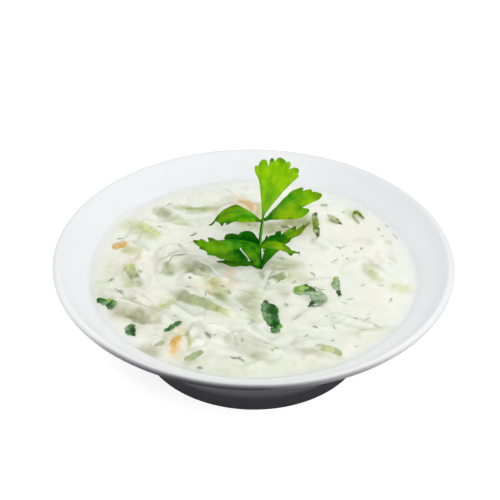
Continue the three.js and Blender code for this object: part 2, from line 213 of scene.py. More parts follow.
def patched(patches, flat, column):
    """A value that runs smoothly from patch to patch. A patch is (x, y, size, values...)."""
    weight, total = np.full(len(flat), 1e-9), np.zeros(len(flat))
    for patch in patches:
        near = np.exp(-((flat[:, 0] - patch[0]) ** 2 + (flat[:, 1] - patch[1]) ** 2) / patch[2] ** 2)
        weight, total = weight + near, total + near * patch[column]
    return total / weight


# ---------------------------------------------------------------- meshes
def grid_faces(rows, columns, start=0):
    """Quads over rows x columns points that are listed row by row from index start."""
    corner = start + np.arange(rows - 1)[:, None] * columns + np.arange(columns - 1)
    corner = corner.ravel()
    return np.stack([corner, corner + 1, corner + columns + 1, corner + columns], 1)


def border(index):
    """The indices round the edge of a grid of indices, in order."""
    return np.concatenate([index[0, :-1], index[:-1, -1], index[-1, :0:-1], index[:0:-1, 0]])


def shell(upper, lower):
    """Points and faces of a closed sheet between two grids of points, each rows x columns x 3."""
    rows, columns, _ = upper.shape
    count = rows * columns
    faces = [grid_faces(rows, columns), grid_faces(rows, columns, count)[:, ::-1]]
    loop = border(np.arange(count).reshape(rows, columns))
    after = np.roll(loop, -1)
    faces.append(np.stack([loop, loop + count, after + count, after], 1))
    return np.concatenate([upper.reshape(-1, 3), lower.reshape(-1, 3)]), np.concatenate(faces)


def tube(path, radii, sides, squash=1.0):
    """Points and faces of a closed round tube along a path, with a radius at each point."""
    path = np.asarray(path, float)
    ahead = np.gradient(path, axis=0)
    ahead /= np.linalg.norm(ahead, axis=1)[:, None]
    level = np.cross(ahead, (0.12, 0.2, 1.0))
    level /= np.linalg.norm(level, axis=1)[:, None]
    rise = np.cross(level, ahead)
    bearing = (CIRCLE * np.arange(sides) / sides)[None, :, None]
    ring = np.cos(bearing) * level[:, None] + squash * np.sin(bearing) * rise[:, None]
    points = path[:, None] + np.asarray(radii, float)[:, None, None] * ring
    count = len(path)
    corner = np.arange(count - 1)[:, None] * sides + np.arange(sides)
    turned = np.arange(count - 1)[:, None] * sides + (np.arange(sides) + 1) % sides
    quads = np.stack([corner, turned, turned + sides, corner + sides], -1).reshape(-1, 4)
    caps = [tuple(range(sides))[::-1], tuple(range((count - 1) * sides, count * sides))]
    return points.reshape(-1, 3), [*map(tuple, quads.tolist()), *caps]


def joined(parts):
    """Points, faces and masks of several parts as one. A part is (points, faces, {mask: values})."""
    points, faces, masks = [], [], {}
    start = 0
    for part_points, part_faces, part_masks in parts:
        points.append(part_points)
        faces += [tuple(int(i) + start for i in face) for face in part_faces]
        for name, values in part_masks.items():
            masks.setdefault(name, []).append(np.broadcast_to(values, len(part_points)))
        start += len(part_points)
    return np.concatenate(points), faces, {name: np.concatenate(rows) for name, rows in masks.items()}


def add_piece(name, points, faces, masks, material, slot, nodes=()):
    """A smooth closed mesh from points in millimetres, with its masks as point attributes, that rides on the
    one body and stands for the named CAD nodes."""
    mesh = bpy.data.meshes.new(name)
    faces = faces.tolist() if isinstance(faces, np.ndarray) else faces
    mesh.from_pydata((np.asarray(points) * MM).tolist(), [], faces)
    for mask, values in masks.items():
        attribute = mesh.attributes.new(mask, "FLOAT", "POINT")
        attribute.data.foreach_set("value", np.asarray(values, np.float32).ravel())
    work = bmesh.new()
    work.from_mesh(mesh)
    bmesh.ops.remove_doubles(work, verts=work.verts, dist=1e-7)
    bmesh.ops.recalc_face_normals(work, faces=work.faces)
    work.to_mesh(mesh)
    work.free()
    mesh.shade_smooth()
    mesh.materials.append(material)
    piece = bpy.data.objects.new(name, mesh)
    bpy.context.scene.collection.objects.link(piece)
    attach(piece, "root")
    if nodes:
        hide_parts(*nodes)


# ---------------------------------------------------------------- materials
def colour(text):
    """A linear colour from its sRGB hex code."""
    parts = [int(text[i:i + 2], 16) / 255 for i in (0, 2, 4)]
    return (*[c / 12.92 if c <= 0.04045 else ((c + 0.055) / 1.055) ** 2.4 for c in parts], 1.0)


class Look:
    """A material that is built node by node round its Principled shader."""

    def __init__(self, name):
        self.material = bpy.data.materials.new(name)
        self.material.use_nodes = True
        self.tree = self.material.node_tree
        self.shader = self.tree.nodes["Principled BSDF"]
        self.place = self.add("ShaderNodeTexCoord").outputs["Object"]

    def add(self, kind, **settings):
        made = self.tree.nodes.new(kind)
        for name, value in settings.items():
            setattr(made, name, value)
        return made

    def feed(self, socket, value):
        if isinstance(value, bpy.types.NodeSocket):
            self.tree.links.new(value, socket)
        else:
            socket.default_value = value

    def set(self, **inputs):
        for name, value in inputs.items():
            self.feed(self.shader.inputs[name.replace("_", " ")], value)

    def mask(self, name):
        return self.add("ShaderNodeAttribute", attribute_name=name).outputs["Fac"]

    def mix(self, factor, first, second):
        made = self.add("ShaderNodeMix", data_type="RGBA")
        for index, value in ((0, factor), (6, first), (7, second)):
            self.feed(made.inputs[index], value)
        return made.outputs[2]

    def math(self, operation, first, second):
        made = self.add("ShaderNodeMath", operation=operation, use_clamp=True)
        self.feed(made.inputs[0], first)
        self.feed(made.inputs[1], second)
        return made.outputs[0]

    def ramp(self, factor, stops):
        """A colour that runs through (place, hex code) stops."""
        made = self.add("ShaderNodeValToRGB")
        line = made.color_ramp
        while len(line.elements) < len(stops):
            line.elements.new(0.5)
        for element, (at, shade) in zip(line.elements, stops):
            element.position = at
            element.color = colour(shade)
        self.feed(made.inputs["Fac"], factor)
        return made.outputs["Color"]

    def mottle(self, size_mm, low=0.0, high=1.0, detail=3.0):
        """Soft noise with blotches of about size_mm, spread from low to high."""
        made = self.add("ShaderNodeTexNoise")
        self.feed(made.inputs["Vector"], self.place)
        made.inputs["Scale"].default_value = 1 / (size_mm * MM)
        made.inputs["Detail"].default_value = detail
        spread = self.add("ShaderNodeMapRange", clamp=True)
        self.feed(spread.inputs["Value"], made.outputs["Fac"])
        for name, value in (("From Min", 0.3), ("From Max", 0.7), ("To Min", low), ("To Max", high)):
            spread.inputs[name].default_value = value
        return spread.outputs["Result"]

    def cells(self, size_mm):
        """The distance to the nearest border of a pattern of cells about size_mm across."""
        made = self.add("ShaderNodeTexVoronoi", feature="DISTANCE_TO_EDGE")
        self.feed(made.inputs["Vector"], self.place)
        made.inputs["Scale"].default_value = 1 / (size_mm * MM)
        return made.outputs["Distance"]

    def soften(self, weight, radius, scale_mm):
        """Light that sinks in and comes out again nearby."""
        self.set(Subsurface_Weight=weight, Subsurface_Radius=radius, Subsurface_Scale=scale_mm * MM)

    def bump(self, height, depth_mm, strength):
        made = self.add("ShaderNodeBump")
        made.inputs["Strength"].default_value = strength
        made.inputs["Distance"].default_value = depth_mm * MM
        self.feed(made.inputs["Height"], height)
        self.set(Normal=made.outputs["Normal"])


def porcelain():
    """White glaze, painted lighter or darker round the bowl as light and shade; charcoal outside and, as
    painted shade, on the lip towards -Y; bare clay under the foot.
    """
    look = Look("glazed_porcelain")
    # painted light and shade: the white glaze is made darker or brighter round the bowl by bearing
    white = look.mix(look.mask("painted_light"), colour("dfe0e4"), colour("f9f9fa"))
    white = look.mix(look.mottle(30, 0.0, 0.2), white, colour("eeeff1"))
    charcoal = look.mix(look.mottle(6), colour("26252a"), colour("2e2d33"))
    # the charcoal also lies over the lip's top towards -Y as painted shade
    glazed = look.mix(look.mask("outside_and_lip_shade"), white, charcoal)
    look.set(Base_Color=look.mix(look.mask("bisque"), glazed, colour("8d8a86")))
    duller = look.math("MULTIPLY", look.mask("outside_and_lip_shade"), 0.35)
    look.set(Roughness=look.math("ADD", look.mottle(12, 0.28, 0.38), duller), Specular_IOR_Level=0.14)
    look.bump(look.mottle(9, detail=1.0), 0.03, 0.3)
    return look.material


def cream(look):
    """The yogurt's own white: creamy in places and faintly green in others."""
    white = look.mix(look.mottle(22), colour("f6f3e8"), colour("eff4ec"))
    white = look.mix(look.mottle(6, 0.0, 0.7), white, colour("e6ead8"))
    return look.mix(look.mottle(3, -0.6, 0.6), white, colour("f6f6f8"))


def yogurt():
    """Yogurt that is thin at its edge, tinted by the flesh, peel and carrot just under its surface, and
    darkened by painted shade.
    """
    look = Look("yogurt")
    tint = look.mix(look.mask("thin"), cream(look), colour("e5e8e6"))
    # painted shade: the shade mask darkens the yogurt to taupe-grey, and olive paints the sprig's shadow in
    # places
    for mask, size, dark, light in (
        ("shade", 3.0, "93917a", "aeae94"),
        ("flesh", 2.5, "b9c272", "d2d998"),
        ("olive", 1.6, "7f8b54", "a0a972"),
    ):
        tint = look.mix(look.mask(mask), tint, look.mix(look.mottle(size), colour(dark), colour(light)))
    tint = look.mix(look.mask("warm"), tint, colour("edbf80"))
    core = look.math("MULTIPLY", look.math("SUBTRACT", look.mask("warm"), 0.8), 5.0)
    tint = look.mix(core, tint, colour("e3ae50"))
    look.set(Base_Color=tint, Roughness=look.mottle(2.2, 0.28, 0.42), Coat_Weight=0.3, Coat_Roughness=0.15)
    look.soften(0.3, (1.0, 0.9, 0.6), 1.4)
    look.bump(look.mottle(1.8), 0.1, 0.5)
    return look.material


def cucumber():
    """Wet flesh from a grey-olive of painted shade to lime, with peel at its edge, under a film of yogurt.
    """
    look = Look("cucumber_flesh")
    lime = look.math("ADD", look.mask("lime"), look.mottle(1.6, -0.1, 0.1))
    # painted shade: the low end of the flesh ramp is a shaded grey-olive
    flesh = look.ramp(lime, [(0, "8f8d6b"), (0.35, "838f56"), (0.7, "a6b062"), (1, "ced68c")])
    peel = look.mix(look.mottle(1.2), colour("5d8030"), colour("88a648"))
    bare = look.mix(look.mask("peel"), flesh, peel)
    look.set(Base_Color=look.mix(look.mask("film"), bare, cream(look)))
    look.set(Roughness=look.mottle(1.5, 0.24, 0.38), Coat_Weight=0.2, Coat_Roughness=0.15)
    look.soften(0.3, (1.0, 1.0, 0.4), 1.2)
    look.bump(look.mottle(0.8), 0.06, 0.5)
    return look.material


def herb_leaf():
    """Chopped parsley: dark and wet, brighter towards some edges, filmed with yogurt in patches."""
    look = Look("herb_leaf")
    tone = look.mask("tone")
    green = look.ramp(tone, [(0, "003a04"), (0.25, "0c6418"), (0.6, "5f9a18"), (1, "a8c822")])
    green = look.mix(look.mottle(0.9, 0.0, 0.3), green, colour("1f7420"))
    olive = look.ramp(tone, [(0, "3c4a1c"), (0.5, "6c7a24"), (1, "a4ae48")])
    green = look.mix(look.mask("olive"), green, olive)
    filmed = look.mix(look.mask("olive"), colour("aec4a6"), colour("ccd2aa"))
    look.set(Base_Color=look.mix(look.mask("film"), green, filmed))
    look.set(Roughness=look.mottle(0.8, 0.35, 0.55), Specular_IOR_Level=0.1)
    look.bump(look.cells(0.9), 0.12, 0.6)
    return look.material


def carrot():
    look = Look("carrot")
    core = look.mix(look.mottle(1.0), colour("cb9a48"), colour("e0ba5c"))
    look.set(Base_Color=look.mix(look.mask("film"), core, colour("eee6ca")), Roughness=0.35, Coat_Weight=0.1)
    look.soften(0.05, (1.0, 0.8, 0.4), 0.8)
    look.bump(look.mottle(0.5), 0.06, 0.6)
    return look.material


def dill():
    look = Look("dill")
    green = look.mix(look.mask("tone"), colour("1c4434"), colour("6f8440"))
    look.set(Base_Color=look.mix(look.mask("film"), green, colour("d3dbc9")), Roughness=0.4, Coat_Weight=0.2)
    look.bump(look.mottle(0.4), 0.05, 0.5)
    return look.material


def parsley():
    """A fresh leaf: light shines through it, and it runs from a deep green to a bright yellow-green."""
    look = Look("parsley_leaf")
    # the tone mask paints light and shade on the leaves as well as their own greens
    tone = look.math("ADD", look.mask("tone"), look.mottle(3.5, -0.06, 0.06))
    green = look.ramp(tone, [
        (0, "006800"), (0.3, "268e00"), (0.55, "5bb000"), (0.8, "88c400"), (1, "a6d804"),
    ])
    # the vein mask also paints light on the stem's +X side
    green = look.mix(look.math("MULTIPLY", look.mask("vein"), 0.6), green, colour("b8dc78"))
    green = look.mix(look.mask("brown"), green, colour("7c8414"))
    look.set(Base_Color=green, Roughness=look.mottle(1.5, 0.45, 0.65), Specular_IOR_Level=0.05)
    look.bump(look.cells(1.5), 0.08, 0.4)
    through = look.add("ShaderNodeBsdfTranslucent")
    look.feed(through.inputs["Color"], green)
    both = look.add("ShaderNodeMixShader")
    both.inputs["Fac"].default_value = 0.4
    look.feed(both.inputs[1], look.shader.outputs["BSDF"])
    look.feed(both.inputs[2], through.outputs["BSDF"])
    look.feed(look.tree.nodes["Material Output"].inputs["Surface"], both.outputs["Shader"])
    return look.material


# ---------------------------------------------------------------- bowl
INNER_WALL = [
    (0, FLOOR_HEIGHT),
    (0.4 * RIM_RADIUS, FLOOR_HEIGHT + 0.7),
    (0.61 * RIM_RADIUS, 0.35 * BOWL_HEIGHT),
    (0.72 * RIM_RADIUS, 0.6 * BOWL_HEIGHT),
    (0.82 * RIM_RADIUS, 0.795 * BOWL_HEIGHT),
    (0.91 * RIM_RADIUS, 0.9 * BOWL_HEIGHT),
    (RIM_RADIUS - 3.9, BOWL_HEIGHT - 1.1),
]
OUTER_WALL = [
    (RIM_RADIUS - 0.5, BOWL_HEIGHT - 2.3),
    (RIM_RADIUS - 1.9, BOWL_HEIGHT - 3.1),
    (0.925 * RIM_RADIUS, 0.865 * BOWL_HEIGHT),
    (0.82 * RIM_RADIUS, 0.67 * BOWL_HEIGHT),
    (0.7 * RIM_RADIUS, 0.41 * BOWL_HEIGHT),
    (0.62 * RIM_RADIUS, 0.24 * BOWL_HEIGHT),
    (FOOT_RADIUS - 0.6, FOOT_HEIGHT),
]
# The charcoal of the outside reaches up over the lip towards -Y, as painted shade there, and elsewhere
# leaves a thin grey line on the lip that is partly painted shade; the white is painted brighter or darker
# round the rim as painted light
# and shade: (bearing in degrees, amount) round the rim.
DARK_LAP_AND_SHADE = [
    (0, 0.3), (50, 0.18), (90, 0.14), (140, 0.16), (180, 0.25), (206, 0.3), (220, 0.55), (228, 0.8),
    (236, 0.9), (250, 1), (272, 1), (285, 0.92), (292, 0.86), (300, 0.8), (312, 0.6), (325, 0.45),
    (340, 0.36), (360, 0.3),
]
PAINTED_LIGHT_ROUND_BOWL = [
    (0, 0.35), (50, 0.1), (80, 0.33), (180, 0.37), (204, 0.5), (224, 0.7), (245, 0.78), (270, 0.72),
    (289, 0.78), (315, 0.76), (343, 0.5), (360, 0.35),
]
inner_run = smooth_run(INNER_WALL, 8)


def wall_height(r):
    """The height of the bowl's inner wall at radius r."""
    return np.interp(r, inner_run[:, 0], inner_run[:, 1])


def arc(centre, radius, first, last, steps, squash=1.0):
    """Points on an arc between two bearings in degrees."""
    turn = np.radians(np.linspace(first, last, steps))
    return np.stack([centre[0] + radius * np.cos(turn), centre[1] + squash * radius * np.sin(turn)], 1)


def bowl_profile():
    """(radius, height, way over the lip, bisque) from the floor's centre over the lip to the foot. The way
    over the lip is 0 inside, 1 at the lip's outermost point and 2 from a little down the outer wall on."""
    middle = (RIM_RADIUS - LIP_INSET - LIP_WIDTH, BOWL_HEIGHT - LIP_LOWERED - LIP_DROP)
    lip = arc(middle, LIP_WIDTH, 128, 0, 14, LIP_DROP / LIP_WIDTH)
    outer = smooth_run(OUTER_WALL, 6)
    edge = 0.8
    ring_out = arc((FOOT_RADIUS - edge, edge), edge, 15, -90, 5)
    ring_in = arc((FOOT_RADIUS - FOOT_RING_WIDTH + 0.5, 0.5), 0.5, -90, -180, 4)
    recess = [
        (FOOT_RADIUS - FOOT_RING_WIDTH - 0.6, FOOT_RECESS - 0.3),
        (FOOT_RADIUS - FOOT_RING_WIDTH - 1.4, FOOT_RECESS),
        (0.5 * FOOT_RADIUS, FOOT_RECESS),
        (0, FOOT_RECESS),
    ]
    rows = [(r, z, 0, 0) for r, z in inner_run]
    rows += [(r, z, over, 0) for (r, z), over in zip(lip, np.linspace(0.05, 1, len(lip)))]
    rows += [(r, z, min(1.3 + 0.35 * k, 2), 0) for k, (r, z) in enumerate(outer)]
    rows += [(r, z, 2, smoothstep(edge - z, 0.3, 0.7)) for r, z in ring_out]
    rows += [(r, z, 2, 1 - smoothstep(z, 0.1, 0.4)) for r, z in ring_in]
    rows += [(r, z, 2, 0) for r, z in recess]
    return np.array(rows, float)


def make_bowl(material):
    profile = bowl_profile()
    bearing = CIRCLE * np.arange(BOWL_SIDES + 1) / BOWL_SIDES
    points = np.stack([
        profile[:, 0, None] * np.cos(bearing),
        profile[:, 0, None] * np.sin(bearing),
        np.broadcast_to(profile[:, 1, None], (len(profile), BOWL_SIDES + 1)),
    ], -1)
    lapped_and_shaded = np.interp(np.degrees(bearing), *zip(*DARK_LAP_AND_SHADE))
    over = profile[:, 2, None]
    # painted shade: the charcoal is carried up over the lip's top, far towards -Y and thinly elsewhere
    begun = over - 0.4 * (1 - lapped_and_shaded) ** 0.7
    lap_and_shade = np.interp(begun, (0, 0.15, 0.33, 0.45, 0.6, 0.75, 0.9), (0, 0.12, 0.3, 0.64, 0.87, 0.97, 1))
    dark = np.where(over > 1, np.maximum(lapped_and_shaded, smoothstep(over, 1.0, 1.8)), lap_and_shade * lapped_and_shaded)
    # painted light and shade: how much brighter the white is at each bearing round the bowl
    painted_light = np.interp(np.degrees(bearing), *zip(*PAINTED_LIGHT_ROUND_BOWL)) + 0 * over
    masks = {
        "outside_and_lip_shade": dark.ravel(), "painted_light": painted_light.ravel(), "bisque": np.repeat(profile[:, 3], BOWL_SIDES + 1),
    }
    faces = grid_faces(len(profile), BOWL_SIDES + 1)
    add_piece("glazed_bowl", points.reshape(-1, 3), faces, masks, material, "porcelain", ["bowl"])


# ---------------------------------------------------------------- pieces in and on the dip
# Most places and outlines below were picked by eye in the photo and turned into millimetres by a scratch
# script.
# x, y, turn in degrees, length, width, height; then how much of it the yogurt films over, from where to
# where along it (-1 to 1) it is bare (past -1 or 1 is a clean cut end), how much peel it has and where that
# begins, and how lime its flesh is at its two ends (0 is a grey-olive of painted shade). The first is a
# slice, the rest are strips.
CUCUMBERS = [
    (-24.5, 60, 17, 26, 14, 1.6, 1.35, -0.8, 0.8, 0, 0, 0.75, 0.9),
    (-53, 32.5, -48, 22, 6.5, 2, 0.6, -0.5, 1.1, 0, 0, 0.95, 0.95),
    (-57, -5, -69, 14, 6, 2, 0.2, -1.2, 0.95, 0, 0, 1, 0.2),
    (-20, -7, -50, 32, 7.5, 2.4, 0.72, -0.95, 0.2, 0, 0, -0.05, 0.75),
    (-19, -31, -31, 38, 8.5, 3, 0.72, -1.05, 0.75, 0, 0, 0.25, 0.95),
    (11, -8.5, 40, 17, 6, 1.8, 0.4, -0.6, 0.7, 0, 0, 0.3, 0.6),
    (-42.5, -55, 31, 12, 6, 1.1, 0.9, -0.5, 0.5, 0, 0, 0.2, 0.5),
    (-26, -63.5, 36, 13, 4, 1.6, 0.5, -0.8, 0.8, 0.7, -1, 0.3, 0.6),
    (29.5, -58.5, -17, 21, 6, 2, 0.75, -0.2, 1.3, 1.6, 0.6, 0.1, 0.9),
]
# x, y, turn, length, width, rise and how olive its near flank is, as flesh and painted shade.
COVERED_STRIPS = [
    (-42, 46, -35, 19, 7, 2.2, 0.7),
    (-58, 14.5, -40, 14, 6, 2, 0.4),
    (-54.5, -32, -23, 24, 8, 2.6, 0.5),
    (-27, -50, 72, 14, 4.5, 1.8, 0.5),
    (-38, 3, 40, 17, 9, 3, 0.5),
    (0, -57.5, -27, 25, 9, 2.6, 0.6),
    (-6, 50, 8, 24, 8, 2.2, 0.4),
    (57, 0, -55, 13, 6, 1.4, 0.4),
    (55, -46, 20, 16, 5.5, 1.4, 0.3),
]
STREWN_STRIPS = 26
# Scraps of parsley leaf: the corners of each outline, its curl, and patches of it as
# (x, y, size, tone from dark 0 to lime 1, film). A last number makes a scrap olive rather than green.
HERBS = [
    ([
        (4, -26.5), (5, -25.5), (6, -25), (7, -26.5), (8, -28), (10, -29), (11, -30.5), (11.5, -34),
        (11.5, -37.5), (12, -40.5), (13, -42.5), (12.5, -45), (12, -46.5), (10, -47.5), (9, -47.5),
        (8, -46.5), (7.5, -44), (6, -41.5), (5, -39), (4, -36.5), (3.5, -34), (3, -31), (3, -28),
    ], 1.5, [
        (5.9, -26.4, 0.9, 0, 0.05), (4, -28.9, 1.8, 0.35, 0.55), (4, -33.4, 2, 0.35, 0.6),
        (6, -30.4, 1.8, 0.25, 0.12), (5.3, -37, 1.6, 0.3, 0.5), (6.9, -33.7, 1.3, 0, 0),
        (9, -30.7, 1.8, 0, 0), (8.3, -37.7, 1.3, 0.2, 0.08), (6.7, -40.6, 1.2, 0.3, 0.3),
        (10.6, -35.4, 1.2, 0.15, 0), (11.1, -31, 0.8, 0.85, 0.1), (9.4, -42, 1.8, 0, 0),
        (8.7, -46.3, 1.3, 0.15, 0.15), (11.8, -43.7, 1.1, 0.6, 0.15), (11.4, -39.8, 0.8, 0.35, 0.1),
    ]),
    ([
        (18.5, -18.5), (19.5, -16), (21, -14), (22.5, -13), (24.5, -12.5), (26, -14), (27, -15.5),
        (28.5, -16.5), (29, -18), (28.5, -20), (26.5, -20.5), (24.5, -21), (22, -21), (20, -20.5), (19, -20),
    ], 1.2, [
        (19.8, -18.4, 1.2, 0.75, 0.15), (21.7, -18.3, 1.3, 0.72, 0), (21.5, -15.3, 1.2, 0.85, 0.4),
        (23.2, -14.5, 1.1, 0.85, 0.3), (24.4, -13.5, 0.8, 0.05, 0), (24.8, -16, 0.9, 0.9, 0.55),
        (23.1, -17.2, 1, 0.9, 0.5), (26.4, -17.5, 1.4, 0, 0), (25, -17.9, 1, 0.1, 0),
        (28, -17.8, 1, 0.1, 0.15), (21.6, -20.6, 1.2, 0.6, 0.75), (25.4, -20.2, 1.3, 0.3, 0.7),
    ]),
    ([
        (26, -19), (27.5, -17.5), (29, -17.5), (31, -17.5), (33, -19.5), (34, -22.5), (34, -25.5),
        (32.5, -28), (30.5, -29.5), (29, -31), (28, -31), (27, -30), (25, -30), (25.5, -28.5), (26.5, -26.5),
        (26.5, -23.5), (26, -21),
    ], 1.0, [
        (26.9, -21.2, 1.8, 0.25, 0.85), (28.6, -18.9, 1.6, 0.2, 0.68), (31, -19.2, 1.4, 0.2, 0.92),
        (31.8, -20.7, 0.9, 0.1, 0.6), (29.7, -22.6, 1.4, 0.2, 0.65), (32.9, -23.3, 1.6, 0.3, 0.92),
        (31.2, -26.3, 1.8, 0.05, 0.58), (32.5, -27.4, 1, 0.05, 0.4), (28.2, -25.6, 1.4, 0.25, 0.8),
        (26.3, -28.6, 1.2, 0, 0.05), (28.8, -30.1, 1.3, 0.2, 0.8),
    ]),
    ([
        (37.5, -9), (38, -5.5), (39, -4.5), (40, -5), (40.5, -8.5), (40.5, -12.5), (40.5, -16.5),
        (41, -19.5), (40, -21), (39, -19.5), (38.5, -16), (37.5, -15), (37, -12.5), (37, -10.5),
    ], 1.0, [
        (38.2, -7.6, 1, 0.8, 0), (39.6, -6.4, 1, 0.7, 0.7), (39.4, -9.2, 1, 0.85, 0.55),
        (37.6, -11.1, 1.2, 0.55, 0.35), (40.2, -8.8, 0.7, 0.3, 0.2), (39.9, -13.4, 0.8, 0.15, 0.2),
        (38.7, -13.4, 1.1, 0.5, 0.92), (40.2, -19.1, 1, 0, 0.05),
    ]),
    ([
        (29.5, 45.5), (31.5, 47), (32, 46.5), (31.5, 44.5), (32, 40), (32.5, 34), (32.5, 28), (31, 25.5),
        (30.5, 29), (29.5, 34), (29, 40),
    ], 1.4, [
        (31.5, 46, 1.5, 0.15, 0.05), (29.6, 42.5, 1.4, 0.5, 0.3), (31.2, 38, 2.2, 0.6, 0),
        (31.8, 34, 1.2, 0.4, 0), (29.8, 32, 1.2, 0.6, 0.45), (31.7, 28.5, 1.6, 0.15, 0),
    ], 0.7),
    None,
    ([
        (37, 45), (38.5, 45.5), (40, 44.5), (42, 42), (43, 39.5), (44, 37.5), (42.5, 38), (41, 39),
        (39.5, 40), (37.5, 41.5),
    ], 0.8, [
        (37.9, 43.9, 1.8, 0.75, 0.75), (39.6, 42.2, 1.8, 0.7, 0.7), (41.3, 40, 1, 0.25, 0.25),
        (43.2, 38.2, 1, 0, 0.05), (42, 40.5, 1, 0.5, 0.4),
    ], 0.8),
    ([
        (-72.5, -24.5), (-70.5, -24), (-68.5, -24.5), (-66.5, -25), (-65, -26.5), (-64.5, -28.5), (-63, -30),
        (-63.5, -31.5), (-65, -33), (-66.5, -31.5), (-68.5, -29), (-70.5, -27.5), (-72, -26.5),
    ], 1.2, [
        (-72, -25, 1, 0, 0), (-70, -25, 1.2, 0.25, 0), (-69, -28, 1.6, 0.25, 0.3),
        (-65.7, -26.5, 1.4, 1, 0.15), (-66, -29.5, 1.2, 0.1, 0), (-65, -32, 1, 0.05, 0.1),
        (-63.8, -30.5, 1, 0.55, 0.3),
    ]),
    ([
        (-58, -45), (-57.5, -43), (-56, -41.5), (-55, -41.5), (-53.5, -43), (-53, -45.5), (-53, -49),
        (-52.5, -51), (-54, -50.5), (-55, -50), (-56.5, -49.5), (-57.5, -47.5),
    ], 1.0, [
        (-57.1, -46.5, 1.4, 0.3, 0.5), (-55.8, -43.6, 1.4, 0.2, 0.25), (-55, -47.5, 1.5, 0, 0),
        (-53.8, -44.6, 1.2, 0.1, 0), (-53.3, -49.2, 1.2, 0.05, 0), (-56.2, -49.3, 1.2, 0.3, 0.5),
        (-54.8, -42.1, 1, 0.3, 0.3),
    ]),
    ([
        (-40, -48), (-40, -46), (-38.5, -44.5), (-37, -43), (-35.5, -41.5), (-33.5, -41), (-32.5, -42),
        (-33, -44), (-35, -45), (-36.5, -46.5), (-38, -48), (-39, -48.5),
    ], 1.2, [
        (-39, -46.9, 1.4, 0.15, 0), (-37.2, -45.8, 1.2, 0.2, 0), (-35.6, -42.5, 1.6, 0.3, 0.35),
        (-36.9, -43.6, 1.2, 0.3, 0.4), (-33.8, -42.8, 1.4, 0.1, 0.05), (-34.8, -44.4, 1, 0.2, 0.1),
    ]),
]
# Where the herbs lie: x, y, length.
HERB_PLACES = [
    (7.5, -33, 20), (22, -16.5, 10), (30, -22.5, 10), (38.8, -12, 12), (31.5, 40, 17),
    (52, 47.5, 9), (42.5, 41.5, 9), (-68, -24.5, 11), (-55.7, -46, 7.5), (-37, -42.5, 11),
]
# The sixth herb is a curled sliver of leaf that stands on its edge: the points it runs through.
CURLED_HERB = [
    (55.3, 43.3), (53.8, 45.6), (52.9, 47.9), (51.3, 48.5), (50, 46.3), (50.3, 43.6), (51.4, 41), (52.7, 39),
]
# x, y, turn, length, width, height, film and where along it the bare stretch has its middle.
CARROTS = [
    (-65, 18.5, -8, 9, 6.4, 1.4, 0.0, -0.1),
    (-34, -53, 70, 14, 4.2, 1.3, 0.3, -0.35),
    (-3.3, 53, -56, 16, 5.5, 1.4, 0.35, 0.2),
]
